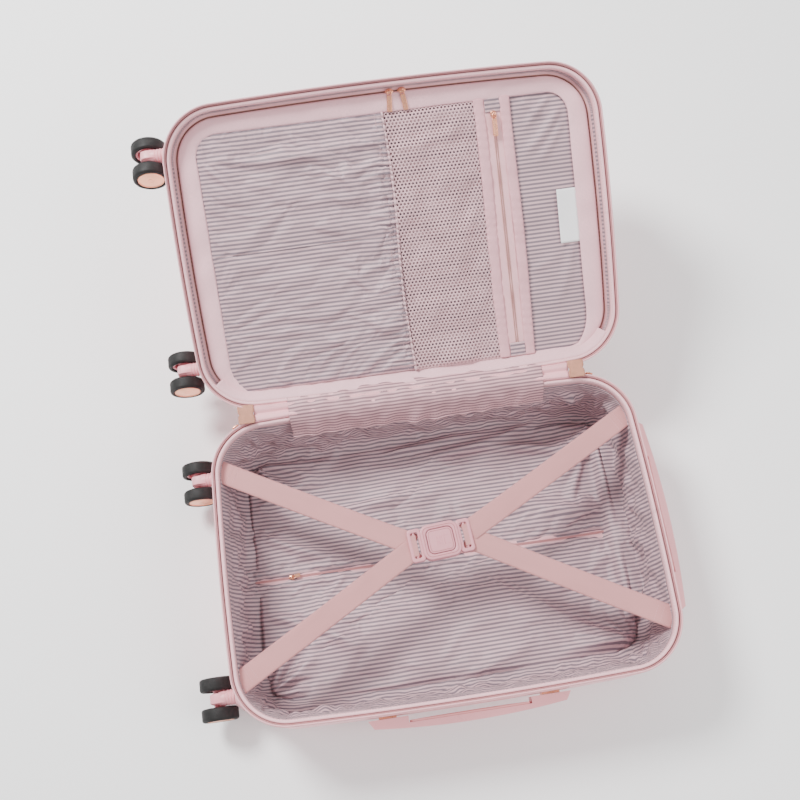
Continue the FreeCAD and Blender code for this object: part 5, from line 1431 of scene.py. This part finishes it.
def fork(name, seat, body):
    """The swivelling fork: a ribbed neck on the stem, a stepped block between the wheels, its axle."""
    lying = seat @ Matrix.Rotation(-math.pi / 2, 4, "Z")
    neck = [(4.15, 4.6), (8.2, 4.6), (8.6, 5.1), (8.6, 6.2), (7.9, 6.8), (7.9, 7.8), (8.6, 8.4),
            (8.6, 9.6), (7.9, 10.2), (7.9, 11.2), (8.5, 11.8), (8.5, 13.0), (7.8, 13.6), (7.8, 14.8),
            (8.3, 15.4), (8.3, 20.0), (7.4, 22.6), (4.15, 22.6)]
    lathe("fork_%s_neck" % name, neck, fork_pink, body, lying, ("fork_" + name,), 40)
    upright = Matrix.Rotation(math.pi / 2, 4, "X")
    side_view = np.array([(15, -8), (19, -13.2), (22.4, -17.4), (26, -18.4), (30.2, -16.8), (32.6, -12.5),
                          (33, -7), (33, 2), (31.5, 6.0), (27, 7.8), (19, 8), (15, 6.5)])
    middle = side_view.mean(0)
    turns = np.arctan2(side_view[:, 1] - middle[1], side_view[:, 0] - middle[0])
    side_view = side_view[np.argsort(turns)]
    slab("fork_%s_block" % name, side_view, -5.4, 5.4, 1.3, fork_pink, body, seat @ upright)
    for face in (-1, 1):
        inset = shrink(side_view, 2.6)
        slab("fork_%s_cheek_%d" % (name, face > 0), inset, face * 5.9 - 0.5, face * 5.9 + 0.1 * face, 0.2,
             fork_pink, body, seat @ upright)
    axle = Matrix.Translation((STEM_REACH, 0, -TRAIL))
    bush = [(2.6, -7.4), (5.4, -7.4), (6.0, -6.9), (6.0, 6.9), (5.4, 7.4), (2.6, 7.4)]
    lathe("fork_%s_axle_bush" % name, bush, fork_pink, body, seat @ axle, (), 32)
    pin = [(0.05, -21.6), (2.1, -21.6), (2.45, -21.2), (2.45, 21.2), (2.1, 21.6), (0.05, 21.6)]
    lathe("fork_%s_axle" % name, pin, steel, body, seat @ axle, (), 24)


for half in ("rear", "front"):
    for side_name, side in (("left", 1), ("right", -1)):
        point = Vector((-HALF_LENGTH, side * (HALF_WIDTH - 48), 50))
        if half == "front":
            point = LID @ point
        seat = Matrix.Translation(point) @ Matrix.Rotation(math.pi, 4, "Z")
        name = "%s_%s" % (half, side_name)
        fork(name, seat, "caster_" + name)
        for count, facing in ((1, 1), (2, -1)):
            hub = Matrix.Translation((STEM_REACH, facing * HALF_GAUGE, -TRAIL))
            turn = Matrix.Rotation(math.radians(90 - 90 * facing), 4, "Z")
            wheel("%s_%d" % (name, count), seat @ hub @ turn)

# ---------------------------------------------------------------- soft pads of the carry handles
PAD_HALF, PAD_HIGH, COLLAR_REACH = 69, 9.1, 92


def handle_pad(name, seat):
    """The soft pad let into a handle's grip: rounded ends and a crowned face."""
    plan = rounded_plan(PAD_HALF - 1, 12.4, 5, 8)
    under = seat @ Matrix.Translation((0, PAD_HIGH, 0)) @ Matrix.Rotation(math.pi / 2, 4, "X")
    piece = slab(name + "_pad_soft", plan, 0.1, 2.6, 1.0, soft_pad, name, under,
                 (name + "_pad",), crown=0.8)


def handle_collars(name, seat):
    """The plated collars at a grip's two ends."""
    collar = [(2.2, -1.6), (3.4, -1.6), (3.9, -1.1), (3.9, 0.4), (3.4, 0.8), (2.2, 0.8)]
    for end in (-1, 1):
        lathe("%s_collar_%d" % (name, end > 0), collar, rose_gold, "rear_case",
              seat @ Matrix.Translation((end * COLLAR_REACH, 1.9, 0)), (), 32)


HANDLE_SEATS = {
    "side_handle": Matrix.Translation((5, -HALF_WIDTH, 60)) @ Matrix.Rotation(math.pi, 4, "Z"),
    "top_handle": Matrix.Translation((HALF_LENGTH, 0, 82)) @ Matrix.Rotation(-math.pi / 2, 4, "Z"),
}
for finish in (handle_pad, handle_collars):
    for name, seat in HANDLE_SEATS.items():
        finish(name, seat)
